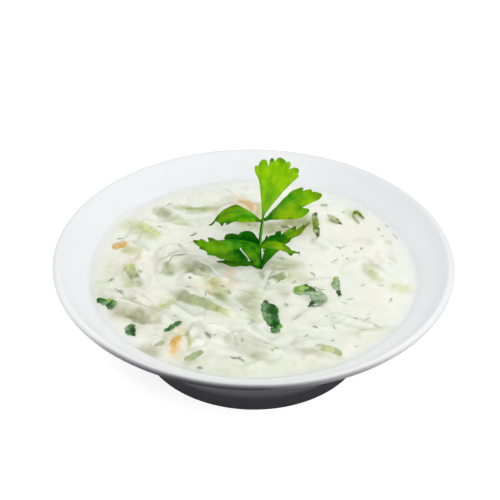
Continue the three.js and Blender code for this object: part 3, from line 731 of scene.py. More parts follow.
# Soft tints in the yogurt: x, y, turn, length, width, and how olive, fleshy, warm and shaded it is there.
# The shaded amount is painted shade, such as the sprig's shadow and shade between lumps, and behind the
# sprig the olive amount paints its shadow too. Amounts left out at the end are 0.
TINTS = [
    (-27, 51, -2, 24, 4.5, 0.6, 0.95), (-45, 45.5, -30, 9, 4.5, 0.9, 0, 0, 0.4),
    (-37, 39, -30, 12, 5, 0.2, 0.4), (-55, 30, -47, 22, 8, 0.1, 0.8), (-62, 34, -40, 14, 8, 0, 0.4),
    (-59, 13, -20, 11, 5, 0.1, 0.8, 0, 0.15), (-57, 6.5, 0, 6, 4, 0, 0.3, 0.3),
    (-70, -7, 80, 26, 8, 0, 0.35), (-58, -8, -97, 14, 6, 0.3, 0.9), (-40, -4, 52, 8, 4, 0.6, 0.2, 0, 0.22),
    (-65, -30, -31, 18, 5, 0, 0.2, 0, 0.08), (-54, -37, -14, 20, 8, 0.35, 0, 0, 0.68),
    (-25, -1, -30, 20, 9, 0.2, 0, 0, 0.5), (-18, -16, -57, 18, 7, 0.5, 0.95),
    (-14, -14, -31, 12, 5, 0, 0.3, 0.28), (-22.5, -17.5, 20, 6, 3, 0, 0, 0.3),
    (-14, -29, -47, 14, 7, 0, 0.2, 0, 0.38), (-26, -28, -30, 26, 7, 0.85, 0.2), (-32, -24, -42, 9, 6, 0.95),
    (-40, -28, 9, 9, 5, 0.1, 0.9), (-36, -21, 30, 6, 3, 0, 0, 0.25), (-37, -50, 16, 6, 4, 0.3, 0.2),
    (-33, -46, 36, 6, 3, 0, 0, 0.4), (-34, -56, 78, 10, 4.5, 0, 0, 0.95),
    (-33, -63, -38, 10, 5, 0, 0.3, 0.2), (-28, -56, 82, 8, 2.5, 0, 0.8),
    (-46, -61, -13, 14, 5, 0.35, 0.2, 0, 0.38), (-20.5, -49, -40, 10, 5, 0.3, 0, 0, 0.15),
    (-2, -57, -27, 22, 8, 0.15, 0.1, 0, 0.4), (-13, -66, -39, 20, 7, 0, 0.2, 0, 0.26),
    (12, 1, -7, 17, 6, 0.2, 0, 0, 0.56), (15, -7, -10, 9, 4.5, 0.3, 0.8),
    (2, -24, -50, 22, 10, 0, 0.3, 0, 0.26), (-1, -34, -60, 18, 6, 0.1, 0.4),
    (14, 34, -6, 26, 8, 0.25, 0, 0.05, 0.45), (-4, 37, -2, 15, 6, 0.1, 0.8),
    (-4, 52, -40, 16, 6, 0, 0, 0.45), (20, -55, -5, 8, 5, 0, 0, 0.12, 0.45),
    (30, -61, -5, 18, 5, 0.25, 0.2, 0, 0.3), (38, -62, -79, 6, 2.5, 0, 0.9),
    (56, -3, -66, 17, 5, 0.1, 0.8, 0, 0.08), (57, 3, -66, 9, 5, 0, 0.1, 0, 0.38),
    (69, -14, 0, 11, 6, 0, 0.8), (54, 23, -34, 10, 6, 0, 0, 0, 0.3), (66, 24, 0, 4, 4, 0.1, 0.2, 0, 0.3),
    (67, 13, -83, 14, 4, 0, 0, 0, 0.19), (24, 42, 57, 9, 5, 0, 0.2, 0, 0.26),
    (45, 8, 10, 4, 3, 0, 0, 0.22, 0.08), (-10, -74, -7, 30, 6, 0, 0.35, 0, 0.08),
    (52, -45, 12, 24, 4, 0.1, 0.35), (-30, -8, 0, 80, 90, 0, 0.1, 0, 0.06),
    (0, -70, 0, 80, 20, 0, 0.2, 0, 0.18), (-28, -2.5, -38, 11.5, 7, 0.35, 0.1, 0, 0.9),
    (-29, -4, -31, 7, 5, 1, 0, 0, 1), (-40.5, -3.5, -64, 10, 4, 0.7, 0, 0, 0.7),
    (-41, -1.5, -65, 6, 2.5, 0.9, 0.2, 0, 0.3), (-58.5, -2.5, -17, 6, 4, 0.3, 1),
    (-54.5, -3, -14, 3.5, 2.5, 0.8, 0, 0, 0.6), (-57.5, -11.5, -78, 8, 5, 0.6, 0.2, 0, 0.3),
    (-54.5, -12, -56, 6.5, 5, 0.3, 0, 0, 0.9), (-67.5, -9.5, 42, 4, 1.2, 0.4, 0, 0, 0.8),
    (-55.5, -35, -17, 22, 9, 0.15, 0, 0, 0.75), (-51.5, -35.5, -48, 6.5, 4, 0.75, 0, 0, 1),
    (-57, -37.5, -12, 4, 2, 0.4, 0, 0, 1), (-50.5, -41, -20, 4.5, 2, 0.2, 0, 0, 0.8),
    (-63.5, -30, -47, 3.5, 2.5, 0.6, 0, 0, 0.9), (-45.5, -35, -78, 14.5, 7, 0, 0, 0.14, 0.6),
    (-36.5, -22.5, -51, 5.5, 3.5, 0, 0, 0.3, 0.2), (-40.5, -28.5, -3, 7, 7, 0.1, 0.9),
    (-20.5, -20.5, -57, 7, 3, 0.3, 0, 0.25, 0.5), (-29.5, -21.5, -13, 11, 4, 0.15, 0.3, 0, 0.2),
    (-38.5, -51.5, -29, 5, 5, 0.3, 0, 0, 0.1), (-32.5, -46, -45, 4.5, 4, 0, 0, 0.35, 0.2),
    (-35, -63, -36, 6, 6, 0, 0, 0.35), (-29, -53, -79, 13, 2, 0.5, 0.6, 0, 0.2),
    (-20.5, -51, -65, 5.5, 2, 0.6, 0, 0, 0.9), (-25.5, -46.5, -10, 4, 3, 0.2, 0, 0, 0.5),
    (-45.5, -60.5, -16, 11, 9, 0.25, 0.1, 0, 0.55), (-27.5, -66.5, 51, 9, 5, 0.6, 0.3, 0, 0.2),
    (-23.5, -71.5, -44, 3, 3, 0.3, 0, 0, 0.8), (0, -30.5, -89, 29, 7, 0.15, 0.2, 0, 0.5),
    (14.5, -21, -68, 8.5, 6, 0.1, 0.1, 0.06, 0.5), (11, -2, 1, 15, 4, 0.35, 0.2, 0, 0.75),
    (8.5, -8, 72, 10.5, 2.2, 0.35, 0, 0, 0.8), (4, -7, -80, 6.5, 2.2, 0.2, 0, 0, 0.7),
    (14.5, -8, 16, 5, 1.8, 0.9, 0.6), (1, -40.5, 7, 7.5, 3, 0.3, 0.2, 0, 0.3),
    (-12, -20, -50, 3.5, 3, 0.2, 0, 0, 0.8), (-11.5, -3, -78, 6, 6, 0, 0, 0.45),
    (-10.5, -10, 82, 7, 5, 0, 0, 0.3, 0.1), (51, 47.5, 1, 9, 9, 0.15, 0.5),
    (35.5, 54.5, 1, 4, 2.5, 0.3, 0, 0, 0.6), (39.5, 41, -38, 6.5, 4, 0.4, 0.3, 0, 0.3),
    (30, 24.5, 1, 4, 2.5, 0.2, 0, 0, 0.5), (55, 23, -58, 8, 6, 0, 0, 0, 0.35),
    (49.5, 13.5, 1, 2.5, 2.5, 0, 0, 0.25, 0.4), (15, -29, -58, 3, 3, 0.1, 0, 0, 0.5),
    (-35, -57.5, 78, 9, 4, 0, 0, 1.1), (14, 36.5, 9, 21, 5, 0.6, 0.3, 0, 0.85),
    (-3, 34.5, -4, 11.5, 3.5, 0.45, 0.8, 0, 0.2), (-3.5, 31.5, -10, 10.5, 3, 0.1, 0.5, 0, 0.2),
    (26, 43, 51, 6.5, 5, 0.2, 0.6, 0, 0.1), (-0.5, 52, -67, 18, 5, 0, 0.5, 0.1),
    (-3.5, 51, -57, 9.5, 3.5, 0, 0, 1.05), (-4.5, 51.5, -52, 22, 6, 0, 0.15, 0.5),
    (11, 0.5, 8, 15.5, 4, 0.5, 0.45, 0, 0.5), (15, 5.5, -9, 11, 5, 0, 0.35, 0.1, 0.15),
    (1.5, -63.5, -5, 7, 3.5, 0.3, 0.2, 0, 0.45), (-34, -56, 40, 5, 3, 0, 0, 1.05),
    (27, -38, 0, 74, 60, 0, 0.06, 0, 0.15), (-62, -20, 0, 32, 22, 0.05, 0.08, 0, 0.22),
    (-66, -2, 90, 30, 20, 0, 0.14, 0, 0.2), (-50, -43, 0, 16, 9, 0.05, 0.05, 0, 0.25),
    (-2, -27, -75, 18, 10, 0.2, 0.3, 0, 0.55), (20, -7, -20, 18, 12, 0.1, 0.3, 0, 0.25),
    (-12, -8, -50, 12, 5, 0, 0, 0.35, 0.2), (27, -24, -60, 14, 9, 0.1, 0.1, 0, 0.5),
    (-47, -47, 0, 18, 10, 0, 0.1, 0, 0.14), (-12, -26, 0, 34, 30, 0.05, 0.14, 0, 0.1),
    (-15.5, -22, -45, 9, 4.5, 0.9, 0.5, 0, 0.4), (16, 33.5, 12, 26, 13, 0.75, 0.5, 0, 0.5),
    (15.5, 35.5, 15, 7, 4, 1.2, 0, 0, 1), (22, 39.5, 1, 17, 9, 1, 0.9, 0, 0.2),
    (-2.5, 35, -3, 15, 7.5, 0.3, 0.4, 0, 0.65), (2, 48, -90, 15.5, 7, 0.2, 0.75, 0, 0.1),
    (13.5, 1, 6, 20, 7, 0.3, 0.35, 0, 0.5), (27, -20, -60, 16, 10, 0.1, 0.1, 0, 0.35),
    (-43, -56.5, 31, 13, 7, 0.15, 0.25, 0, 0.45), (26, -61.5, -17, 16, 4, 0.15, 0.1, 0, 0.5),
]
# Thin ridges where the yogurt hangs between pieces: start, middle, end (x, y), width and rise.
RIDGES = [
    ((-32, -27), (-22, -30), (-14, -41), 1.6, 0.9),
    ((-30, -14), (-22, -21), (-9, -34), 1.8, 0.9),
    ((-44, -6), (-38, -16), (-30, -22), 2.0, 0.8),
    ((-48, 22), (-42, 12), (-46, 2), 1.8, 0.8),
    ((-62, -12), (-52, -18), (-44, -30), 1.6, 0.8),
    ((-36, 6), (-28, 12), (-20, 4), 1.6, 0.8),
    ((-6, -44), (4, -50), (14, -62), 1.8, 0.8),
    ((-40, -48), (-34, -56), (-22, -66), 1.6, 0.7),
    ((-60, 42), (-48, 36), (-34, 44), 1.8, 0.7),
    ((-10, 16), (2, 22), (14, 16), 1.8, 0.6),
    ((18, -40), (30, -44), (44, -38), 1.8, 0.6),
    ((40, 20), (50, 12), (48, 0), 1.8, 0.5),
    ((-32, -12), (-26, -5), (-18, -13), 1.3, 0.9),
    ((-10, -12), (-8, -26), (6, -38), 1.4, 0.8),
    ((-38, -30), (-30, -38), (-20, -52), 1.5, 0.8),
    ((-56, 2), (-48, -6), (-50, -18), 1.4, 0.7),
    ((-46, 10), (-38, 14), (-30, 6), 1.5, 0.8),
    ((-26, -44), (-14, -46), (-6, -54), 1.4, 0.7),
    ((-66, 6), (-64, -4), (-68, -16), 1.5, 0.6),
]


def lump(x, y, turn, length, width, rise, olive=0.0, side=-1):
    return {
        "at": (x, y), "turn": turn, "length": length, "width": width,
        "rise": rise, "olive": olive, "side": side,
    }


def mounds():
    """Yogurt heaps up a little under and round each bare piece of cucumber."""
    return [
        lump(x, y, turn, length + 4, width + 4, 0.5 * height, 0.35)
        for x, y, turn, length, width, height, *_ in CUCUMBERS
    ]


def strewn_strips():
    """More covered strips along a golden-angle spiral, lower on the +X side, where the dip is smoother."""
    draw = draws_from(611)
    golden_turn = math.pi * (3 - math.sqrt(5))
    strips = []
    for i in range(STREWN_STRIPS):
        r = 0.9 * DIP_RADIUS * math.sqrt((i + 0.5) / STREWN_STRIPS)
        bearing = i * golden_turn + 0.5 * next(draw)
        x, y = r * math.cos(bearing), r * math.sin(bearing)
        share = 1 if x < 0 else 0.6
        turn = -70 + 140 * next(draw)
        length, width = 10 + 12 * next(draw), 4.5 + 3.5 * next(draw)
        strips.append(lump(x, y, turn, length, width, share * (1 + 0.9 * next(draw)), 0.3 * share))
    return strips


def shreds():
    """Low shreds of cucumber just under the yogurt. They are flatter on the +X side."""
    rng = np.random.default_rng(23)
    made = []
    for _ in range(SHREDS):
        r = 0.96 * DIP_RADIUS * math.sqrt(rng.random())
        bearing = CIRCLE * rng.random()
        x, y = r * math.cos(bearing), r * math.sin(bearing)
        share = 1 - 0.55 * float(smoothstep(x, -20, 25))
        turn = rng.normal(-35, 40)
        length, width, rise = rng.uniform(8, 19), rng.uniform(2.8, 6.0), rng.uniform(0.3, 0.9)
        olive = share * rng.choice([0.0, 0.1, 0.3], p=[0.5, 0.3, 0.2])
        side = rng.choice([-1, 1], p=[0.7, 0.3])
        made.append(lump(x, y, turn, length, width, share * rise, olive, side))
    return made


LARGE_LUMPS = [*mounds(), *(lump(*row) for row in COVERED_STRIPS), *strewn_strips()]
SMALL_LUMPS = shreds()


def local(at, turn, x, y):
    """Where (x, y) lies along and across a piece."""
    c, s = math.cos(math.radians(turn)), math.sin(math.radians(turn))
    dx, dy = x - at[0], y - at[1]
    return c * dx + s * dy, c * dy - s * dx


def spot(at, turn, u, v):
    """Point (u, v) of a piece, along and across it, as x and y."""
    c, s = math.cos(math.radians(turn)), math.sin(math.radians(turn))
    return at[0] + c * u - s * v, at[1] + s * u + c * v


def heap(lumps, x, y):
    """How high the lumps lift (x, y), and how olive their flanks are there: partly flesh, partly painted
    shade.
    """
    lift, olive = np.zeros(np.shape(x)), np.zeros(np.shape(x))
    for one in lumps:
        u, v = local(one["at"], one["turn"], x, y)
        past = np.maximum(np.abs(u) - (one["length"] - one["width"]) / 2, 0)
        out = np.hypot(past, v) / (one["width"] / 2)
        lift = np.maximum(lift, one["rise"] * (1 - smoothstep(out, 0.45, 1.4)))
        # olive on the near flank: partly flesh showing at the side, partly painted shade on that side
        if one["olive"]:
            near = smoothstep(v * one["side"], -0.1, 0.35 * one["width"])
            flank = np.exp(-(((out - 0.85) / 0.35) ** 2)) * near
            olive = np.maximum(olive, one["olive"] * flank)
    return lift, olive


def ridge_lift(x, y):
    """The lift of the thin ridges at (x, y)."""
    lift = np.zeros(np.shape(x))
    for start, middle, end, width, rise in RIDGES:
        bend = 2 * np.array(middle) - (np.array(start) + np.array(end)) / 2
        for t in np.linspace(0, 1, 24):
            px, py = (1 - t) ** 2 * np.array(start) + 2 * t * (1 - t) * bend + t * t * np.array(end)
            nearness = np.exp(-((x - px) ** 2 + (y - py) ** 2) / width**2 * 2)
            lift = np.maximum(lift, rise * math.sin(math.pi * t) ** 0.6 * nearness)
    return lift


def dome_and_swell(x, y):
    """The dip's low dome and the slow waves on it, both as heights at (x, y)."""
    dome = DIP_DOME * (1 - (np.hypot(x, y) / DIP_RADIUS) ** 2)
    return dome, 0.45 * np.sin(0.13 * x + 0.05 * y) + 0.4 * np.sin(0.17 * y - 0.06 * x + 1.3)


def dip_surface(x, y):
    """The height of the dip's surface at (x, y), and how olive the lumps are there."""
    dome, swell = dome_and_swell(x, y)
    calm = 1 - 0.75 * smoothstep(np.hypot(x, y), DIP_RADIUS - 12, DIP_RADIUS + 2)
    large, olive_large = heap(LARGE_LUMPS, x, y)
    small, olive_small = heap(SMALL_LUMPS, x, y)
    rough = 1 - 0.5 * smoothstep(x, -20, 30)
    grain = rough * (0.3 * noise(x, y, 7, 3) + 0.1 * noise(x, y, 3.2, 4) + 0.03 * noise(x, y, 1.5, 5))
    height = DIP_LEVEL + dome + calm * (swell + large + 0.8 * small + ridge_lift(x, y) + grain)
    return height, 0.55 * np.maximum(olive_large, olive_small)


def tints(x, y):
    """How olive, fleshy, warm and shaded the yogurt is at (x, y)."""
    found = np.zeros((4, *np.shape(x)))
    for px, py, turn, length, width, *amounts in TINTS:
        u, v = local((px, py), turn, x, y)
        blob = np.exp(-((2 * u / length) ** 4) - (2 * v / width) ** 2)
        for row, amount in zip(found, amounts):
            np.maximum(row, amount * blob, out=row)
    ragged = 0.85 + 0.3 * noise(x, y, 3.6, 6) + 0.15 * noise(x, y, 1.6, 7)
    return found * np.clip(ragged, 0, 1.1)


def skin_over_wall(x, y, free):
    """The dip's surface near the wall: it climbs a little, ends in an uneven line and leaves smears."""
    r, bearing = np.hypot(x, y), np.arctan2(y, x)
    wander = 0.9 * np.sin(3 * bearing + 0.6) + 0.7 * np.sin(7 * bearing + 2.0) + 0.5 * np.sin(16 * bearing)
    reach = DIP_RADIUS + 0.9 + 0.7 * wander
    smear = 1.3 * np.exp(-(((bearing + 0.05) / 0.12) ** 2)) + 1.4 * np.exp(-(((bearing - 2.6) / 0.12) ** 2))
    film = 0.22 - 0.5 * smoothstep(r - reach - smear, -2.6, 0.8)
    wall = wall_height(r) + film
    blend = 0.9
    top = np.maximum(free, wall)
    return top + blend * np.maximum(0, 1 - np.abs(free - wall) / blend) ** 2 / 4


def make_dip(material):
    """The dip: a fine square grid pressed into a disc for its top, closed below by the bowl's hollow."""
    line = np.linspace(-1, 1, DIP_CELLS + 1)
    u, v = np.meshgrid(line, line, indexing="ij")
    x = SKIN_RADIUS * u * np.sqrt(1 - v * v / 2)
    y = SKIN_RADIUS * v * np.sqrt(1 - u * u / 2)
    free, lump_olive = dip_surface(x, y)
    z = skin_over_wall(x, y, free)
    olive, flesh, warm, shade = tints(x, y)
    olive = np.clip(np.maximum(olive, lump_olive), 0, 1)
    # painted shade: the yogurt is darker where its surface lies below the heights round it
    hollow = smoothstep(blurred(z) - z, 0.05, 0.6) * (1 - smoothstep(np.hypot(x, y), 70, 76))
    shade = np.clip(shade + 0.3 * hollow, 0, 1)
    thin = 0.9 * smoothstep(np.hypot(x, y) + noise(x, y, 9, 11), 71, 79)
    top = np.stack([x, y, z], -1).reshape(-1, 3)
    loop = border(np.arange(x.size).reshape(x.shape))
    below, faces = under_skin(top[loop], len(top), loop)
    masks = {"olive": olive, "flesh": flesh, "warm": warm, "shade": shade, "thin": thin}
    masks = {name: np.concatenate([values.ravel(), np.zeros(len(below))]) for name, values in masks.items()}
    every_face = [*map(tuple, grid_faces(*x.shape).tolist()), *faces]
    add_piece("yogurt_dip", np.concatenate([top, below]), every_face, masks, material, "yogurt", ["dip"])


def blurred(z, reach=6):
    """A grid of heights averaged over squares of 2 reach + 1 cells."""
    padded = np.pad(z, reach, mode="edge")
    width = 2 * reach + 1
    sums = np.cumsum(np.pad(padded, ((1, 0), (0, 0))), axis=0)
    rows = (sums[width:] - sums[:-width]) / width
    sums = np.cumsum(np.pad(rows, ((0, 0), (1, 0))), axis=1)
    return (sums[:, width:] - sums[:, :-width]) / width


def under_skin(rim, start, loop):
    """Rings from the top's rim down the hollow, a hair inside the wall, and a last point at its floor."""
    gap = 0.3
    bearing = np.arctan2(rim[:, 1], rim[:, 0])
    rings = []
    for r in (80, 72, 62, 50, 35, 15):
        z = wall_height(r + gap) - gap if r < 80 else wall_height(r) - 2 * gap
        rings.append(np.stack([r * np.cos(bearing), r * np.sin(bearing), np.full(len(rim), z)], 1))
    points = np.concatenate([*rings, [[0, 0, FLOOR_HEIGHT + gap]]])
    # each ring is joined to the one before it
    rows = [loop, *(start + len(rim) * k + np.arange(len(rim)) for k in range(len(rings)))]
    faces = []
    for near, far in zip(rows, rows[1:]):
        faces += np.stack([near, np.roll(near, -1), np.roll(far, -1), far], 1).tolist()
    last = start + len(points) - 1
    faces += [(a, b, last) for a, b in np.stack([rows[-1], np.roll(rows[-1], -1)], 1).tolist()]
    return points, faces


# ---------------------------------------------------------------- cucumber, herbs, carrot and dill
def film_at(x, y, amount, seed):
    """How thickly yogurt films a piece at (x, y): patches that cover about the given share of it."""
    patchy = 0.5 + 0.5 * noise(x, y, 3.0, seed) + 0.2 * noise(x, y, 1.1, seed + 1)
    return smoothstep(patchy + amount - 0.75, -0.12, 0.2)


def strip_shell(row, film, seed, steps=44, lines=20, bare=(-0.9, 0.9), wavy=0.12):
    """A strip that follows the dip: steep on its near side, sinking under the yogurt on its far side and
    beyond its bare stretch. Returns its points, faces and masks: across and along run from -1 to 1."""
    x0, y0, turn, length, width, height = row
    u = np.linspace(-1, 1, steps + 1)[:, None]
    v = np.linspace(-1, 1, lines + 1)[None, :]
    square = np.where(u < 0, bare[0] < -1, bare[1] > 1)
    buried = smoothstep(np.maximum(bare[0] - u, u - bare[1]), -0.3, 0.1)
    taper = (1 - 0.14 * u) * (1 - 0.3 * np.abs(u) ** 3 * (1 - square))
    uneven = 1 + wavy * noise(u * length, v + 0 * u, 4.0, seed)
    past = np.abs(u) ** np.where(square, 16, 6)
    bend = 0.015 * length * math.sin(5 * seed) * (1 - u * u)
    across = 0.55 * width * v * taper * uneven * (0.3 + 0.7 * np.sqrt(np.clip(1 - past, 0, 1)))
    x, y = spot((x0, y0), turn, 0.5 * length * u + 0 * v, bend + across)
    crown = smoothstep(v, -1, -0.5) * (1 - smoothstep(v, 0, 1.1)) * np.clip(1 - past, 0, 1) ** 0.7
    crown = crown * (1 - buried)
    ground, _ = dip_surface(x, y)
    flute = 0.12 * np.sin(5 * v + 1.5 * u + seed)
    top = ground - 0.25 + 0.8 * height * crown * taper + flute * crown
    upper = np.stack([x, y, top], -1)
    lower = np.stack([x, y, ground - 0.35 - 0.6 * crown], -1)
    points, faces = shell(upper, lower)
    masks = {"film": film_at(x, y, film, seed), "across": v + 0 * u, "along": u + 0 * v}
    return points, faces, {name: np.tile(values.ravel(), 2) for name, values in masks.items()}


def make_cucumbers(material):
    """Strips that show their flesh on the near side and vanish under yogurt on the far one."""
    for i, (*row, film, bare_from, bare_to, peel, peel_from, first, last) in enumerate(CUCUMBERS):
        points, faces, masks = strip_shell(row, film, 40 + i, bare=(bare_from, bare_to))
        across, along = masks.pop("across"), masks.pop("along")
        x, y = points[:, 0], points[:, 1]
        far = smoothstep(across + 0.3 * noise(x, y, 3.5, 60 + i), 0.65 - 1.4 * film, 1.45 - 1.4 * film)
        past = np.maximum(bare_from - along, along - bare_to) + 0.15 * noise(x, y, 3, 70 + i)
        near = smoothstep(0.1 * noise(x, y, 2, 90 + i) - across, 1.1 - 0.5 * film, 1.25 - 0.3 * film)
        ends = 0.9 * smoothstep(past, -0.4, 0.1)
        masks["film"] = np.clip(np.maximum.reduce([0.2 * masks["film"], far, near, ends]), 0, 0.94)
        edge = smoothstep(-across, 0.8 - 0.9 * peel, 0.95 - 0.6 * peel)
        edge = edge * smoothstep(along, peel_from, peel_from + 0.15)
        masks["peel"] = edge if peel else 0 * edge
        masks["lime"] = first + (last - first) * (along + 1) / 2 + 0.15 * noise(x, y, 2.2, 80 + i)
        node = "cucumber_slice" if i == 0 else f"cucumber_strip_{i}"
        add_piece(f"cut_{node}", points, faces, masks, material, "cucumber", [node])


def make_carrots(material):
    """Carrot shreds whose ends fade under the yogurt."""
    for i, (*row, film, middle) in enumerate(CARROTS, 1):
        points, faces, masks = strip_shell(row, film, 80 + i, 26, 12, (-1.0, 1.0), 0.04)
        out = np.abs(masks["along"] - middle) + 0.3 * masks["across"]
        ends = smoothstep(out, 0.5 - film, 1.1 - film)
        masks["film"] = np.maximum(0.3 * masks["film"], 0.85 * ends)
        add_piece(f"carrot_shred_{i}", points, faces, masks, material, "carrot", [f"carrot_{i}"])


def make_herbs(material):
    """Scraps of parsley leaf that lie on the dip, crumpled, with one side sunk and the other curled up."""
    for i, herb in enumerate(HERBS, 1):
        if herb:
            part = herb_scrap(i, *herb)
        else:
            path = smooth_run(CURLED_HERB, 5)
            ground, _ = dip_surface(path[:, 0], path[:, 1])
            path = np.column_stack([path, ground + 0.8])
            points, faces = tube(path, 0.48 * np.sin(np.linspace(0.25, 2.9, len(path))) ** 0.5, 8, 1.9)
            tone = 0.65 + 0.35 * np.sin(0.9 * points[:, 0] + points[:, 1])
            film = 0.9 * smoothstep(45 - points[:, 1], -1, 4.5)
            part = points, faces, {"tone": np.clip(tone, 0, 1), "film": film, "olive": 0.6 + 0 * film}
        points, faces, masks = part
        add_piece(f"herb_leaf_{i}", points, faces, masks, material, "herb", [f"herb_{i}"])


def herb_scrap(i, outline, curl, patches, olive=0.1):
    """One scrap: a wavy leaf whose tone and film run from patch to patch."""
    outline = rounded(outline, 7)
    x, y = outline.T
    outline = outline + 0.4 * np.stack([noise(x, y, 0.9, 170 + i), noise(x, y, 0.9, 180 + i)], 1)
    centre = outline.mean(axis=0)
    size = np.ptp(outline, axis=0).max()

    def place(flat, gap):
        x, y = flat.T
        ground, _ = dip_surface(x, y)
        crumple = 0.5 * noise(x, y, 1.8, 100 + i) + 0.4 * noise(x, y, 4, 120 + i)
        raised = smoothstep((x - centre[0]) / size + 0.2 * noise(x, y, 5, 110 + i), 0.0, 0.4)
        sunk = 0.35 * (1 - smoothstep(gap, 0, 1.0)) * (1 - raised)
        height = ground + 0.5 + crumple + 0.5 * curl * raised - sunk
        return np.stack([x, y, height], 1), np.array([0.0, 0.0, 1.0])

    points, faces, flat, gap = leaf(outline, 0.45, 0.36, place)
    tone = patched(patches, flat, 3) + 0.18 * noise(*flat.T, 1.2, 140 + i)
    film = patched(patches, flat, 4)
    film = film + 0.4 * noise(*flat.T, 1.3, 150 + i) * smoothstep(film, 0.05, 0.3)
    film = np.maximum(film, (0.3 + 0.3 * noise(*flat.T, 2, 190 + i)) * np.exp(-((gap / 0.35) ** 2)))
    masks = {"tone": np.tile(np.clip(tone, 0, 1), 2), "film": np.tile(np.clip(film, 0, 1), 2)}
    masks["olive"] = np.full(len(points), olive)
    return points, faces, masks


def dill_flecks():
    """The places of the flecks that lie clear of the larger pieces."""
    draw = draws_from(97)
    taken = [*HERB_PLACES, *((x, y, length) for x, y, _, length, *_ in [*CUCUMBERS, *CARROTS])]
    flecks = []
    while len(flecks) < DILL_FLECKS:
        r = 0.9 * DIP_RADIUS * math.sqrt(next(draw))
        bearing = CIRCLE * next(draw)
        x, y = r * math.cos(bearing), r * math.sin(bearing)
        fleck = (x, y, 180 * next(draw), 3 + 2.5 * next(draw))
        if all(math.hypot(x - px, y - py) > size / 2 + 5 for px, py, size in taken):
            flecks.append(fleck)
    return flecks


# Threads of dill that stand out: x, y, turn, length and film.
DILL_PLACES = [
    (28, -4, -52, 5, 0.3), (31, -15, -25, 7.5, 0), (20, -38.5, 42, 6.7, 0.25), (28, -44.5, -18, 3.4, 0),
    (24, -49.5, 50, 3.5, 0.2), (37, -43, -59, 2.9, 0.2), (37, -37, 10, 3, 0.4), (47, -37, -45, 3.5, 0.2),
    (15, -29, -45, 3.5, 0.3), (35.5, -53, -37, 2.5, 0.3), (9, -5, -115, 9, 0.4), (6.5, -14, -105, 10, 0.4),
    (39, 7, 39, 6, 0.3), (36, 54, -36, 4.3, 0.3), (66, 38, -67, 3.2, 0.4), (62, 35, -67, 3.4, 0.3),
    (70, 29.5, -63, 7.8, 0.5), (-8.5, -65.5, -45, 3, 0), (-5, -67, -40, 4, 0.1), (-6.5, -65, 10, 3, 0),
    (-23, -71.5, -18, 3, 0.2), (-20, -51, -54, 4.3, 0.05), (-40, 2, 60, 5, 0.2), (-35.5, 5, 12, 8, 0.1),
    (-62.5, -18.5, -45, 7.1, 0.05), (-66, 25, 20, 3.2, 0), (-58.5, 27, 34, 3.6, 0.2), (-30, 27, 45, 5, 0.1),
    (-57, -36.5, 0, 3, 0.1), (-51, -36, -11, 2.5, 0.1), (-51, -40, -21, 4.3, 0.2), (-30, -12, -56, 2, 0),
    (-30.5, -17.5, 34, 3.6, 0.1), (-55, -25, -9, 3, 0.4), (-67, -8.5, 39, 3.4, 0.1),
    (-14, -15.5, -45, 2.2, 0.1), (-11, -20.5, -37, 2.5, 0.2), (-35, -37.5, -40, 4, 0.2),
    (-1, -41, 52, 5.7, 0.35), (19, -11, 31, 3, 0.2), (10.5, -60.5, 45, 3, 0.2), (46, -56, 45, 3.5, 0.4),
    (22, 11, 99, 3, 0.1), (45, 9, -20, 1.6, 0.2), (15.5, 35.5, 10, 4.5, -0.3), (22.5, 40, 60, 4, 0),
]


def thread(x0, y0, turn, length, bend, radius, sunk):
    """A thin tapered thread that lies along the dip's surface."""
    t = np.linspace(-1, 1, 9)
    x, y = spot((x0, y0), turn, 0.5 * length * t, bend * (1 - t**2))
    ground, _ = dip_surface(x, y)
    path = np.stack([x, y, ground + radius * (1 - sunk) + 0.12 * np.sin(3 * t + x0)], 1)
    return tube(path, radius * (1 - 0.55 * np.abs(t) ** 2), 6)


def make_dill(material):
    """Threads of dill, some of them with side threads, as one mesh."""
    rng = np.random.default_rng(31)
    places = [*DILL_PLACES, *((*fleck, 0.45) for fleck in dill_flecks())]
    while len(places) < DILL_THREADS:
        r, bearing = 0.94 * DIP_RADIUS * math.sqrt(rng.random()), CIRCLE * rng.random()
        place = (r * math.cos(bearing), r * math.sin(bearing))
        places.append((*place, rng.uniform(-90, 90), rng.uniform(1.2, 2.8), rng.uniform(0.5, 0.8)))
    parts = []
    for x, y, turn, length, film in places:
        radius, bend = rng.uniform(0.2, 0.36), rng.uniform(-0.8, 0.8)
        length = length * (0.9 - 0.2 * float(smoothstep(x, 0, 30)))
        tone = rng.uniform(0.1, 0.9)
        masks = {"tone": tone, "film": min(0.88, film + rng.uniform(0.2, 0.45) + (0.1 if x > 0 else 0))}
        parts.append((*thread(x, y, turn, length, bend, radius, rng.uniform(0, 0.6)), masks))
        if rng.random() < 0.35:
            turn = turn + rng.uniform(25, 60)
            parts.append((*thread(x + 0.4, y + 0.3, turn, 0.5 * length, 0.2, 0.7 * radius, 0.4), masks))
    add_piece("dill_threads", *joined(parts), material, "herb")


def make_peel_bits(material):
    """Small bits of peel and flesh in the surface, as one mesh."""
    rng = np.random.default_rng(61)
    parts = []
    for i in range(PEEL_BITS):
        r, bearing = 0.95 * DIP_RADIUS * math.sqrt(rng.random()), CIRCLE * rng.random()
        row = (
            r * math.cos(bearing), r * math.sin(bearing), rng.normal(-35, 45),
            rng.uniform(2, 6), rng.uniform(0.9, 2.0), rng.uniform(0.5, 0.9),
        )
        points, faces, masks = strip_shell(row, rng.uniform(0.4, 0.8), 200 + i, 8, 6)
        across, along = masks.pop("across"), masks.pop("along")
        masks["film"] = 0.8 * np.maximum(masks["film"], smoothstep(across + 0.4 * np.abs(along), -0.3, 0.7))
        masks["peel"] = rng.choice([0.0, 0.4]) * smoothstep(-across, 0.2, 0.9)
        masks["lime"] = np.full(len(points), rng.uniform(0.2, 0.9))
        parts.append((points, faces, masks))
    add_piece("peel_bits", *joined(parts), material, "cucumber")


# ---------------------------------------------------------------- parsley sprig
FOOT_NODE = (0, 0, 1.6)
LOW_NODE = (0, 2.8, 11)
TOP_NODE = (0.5, 6.5, 24)
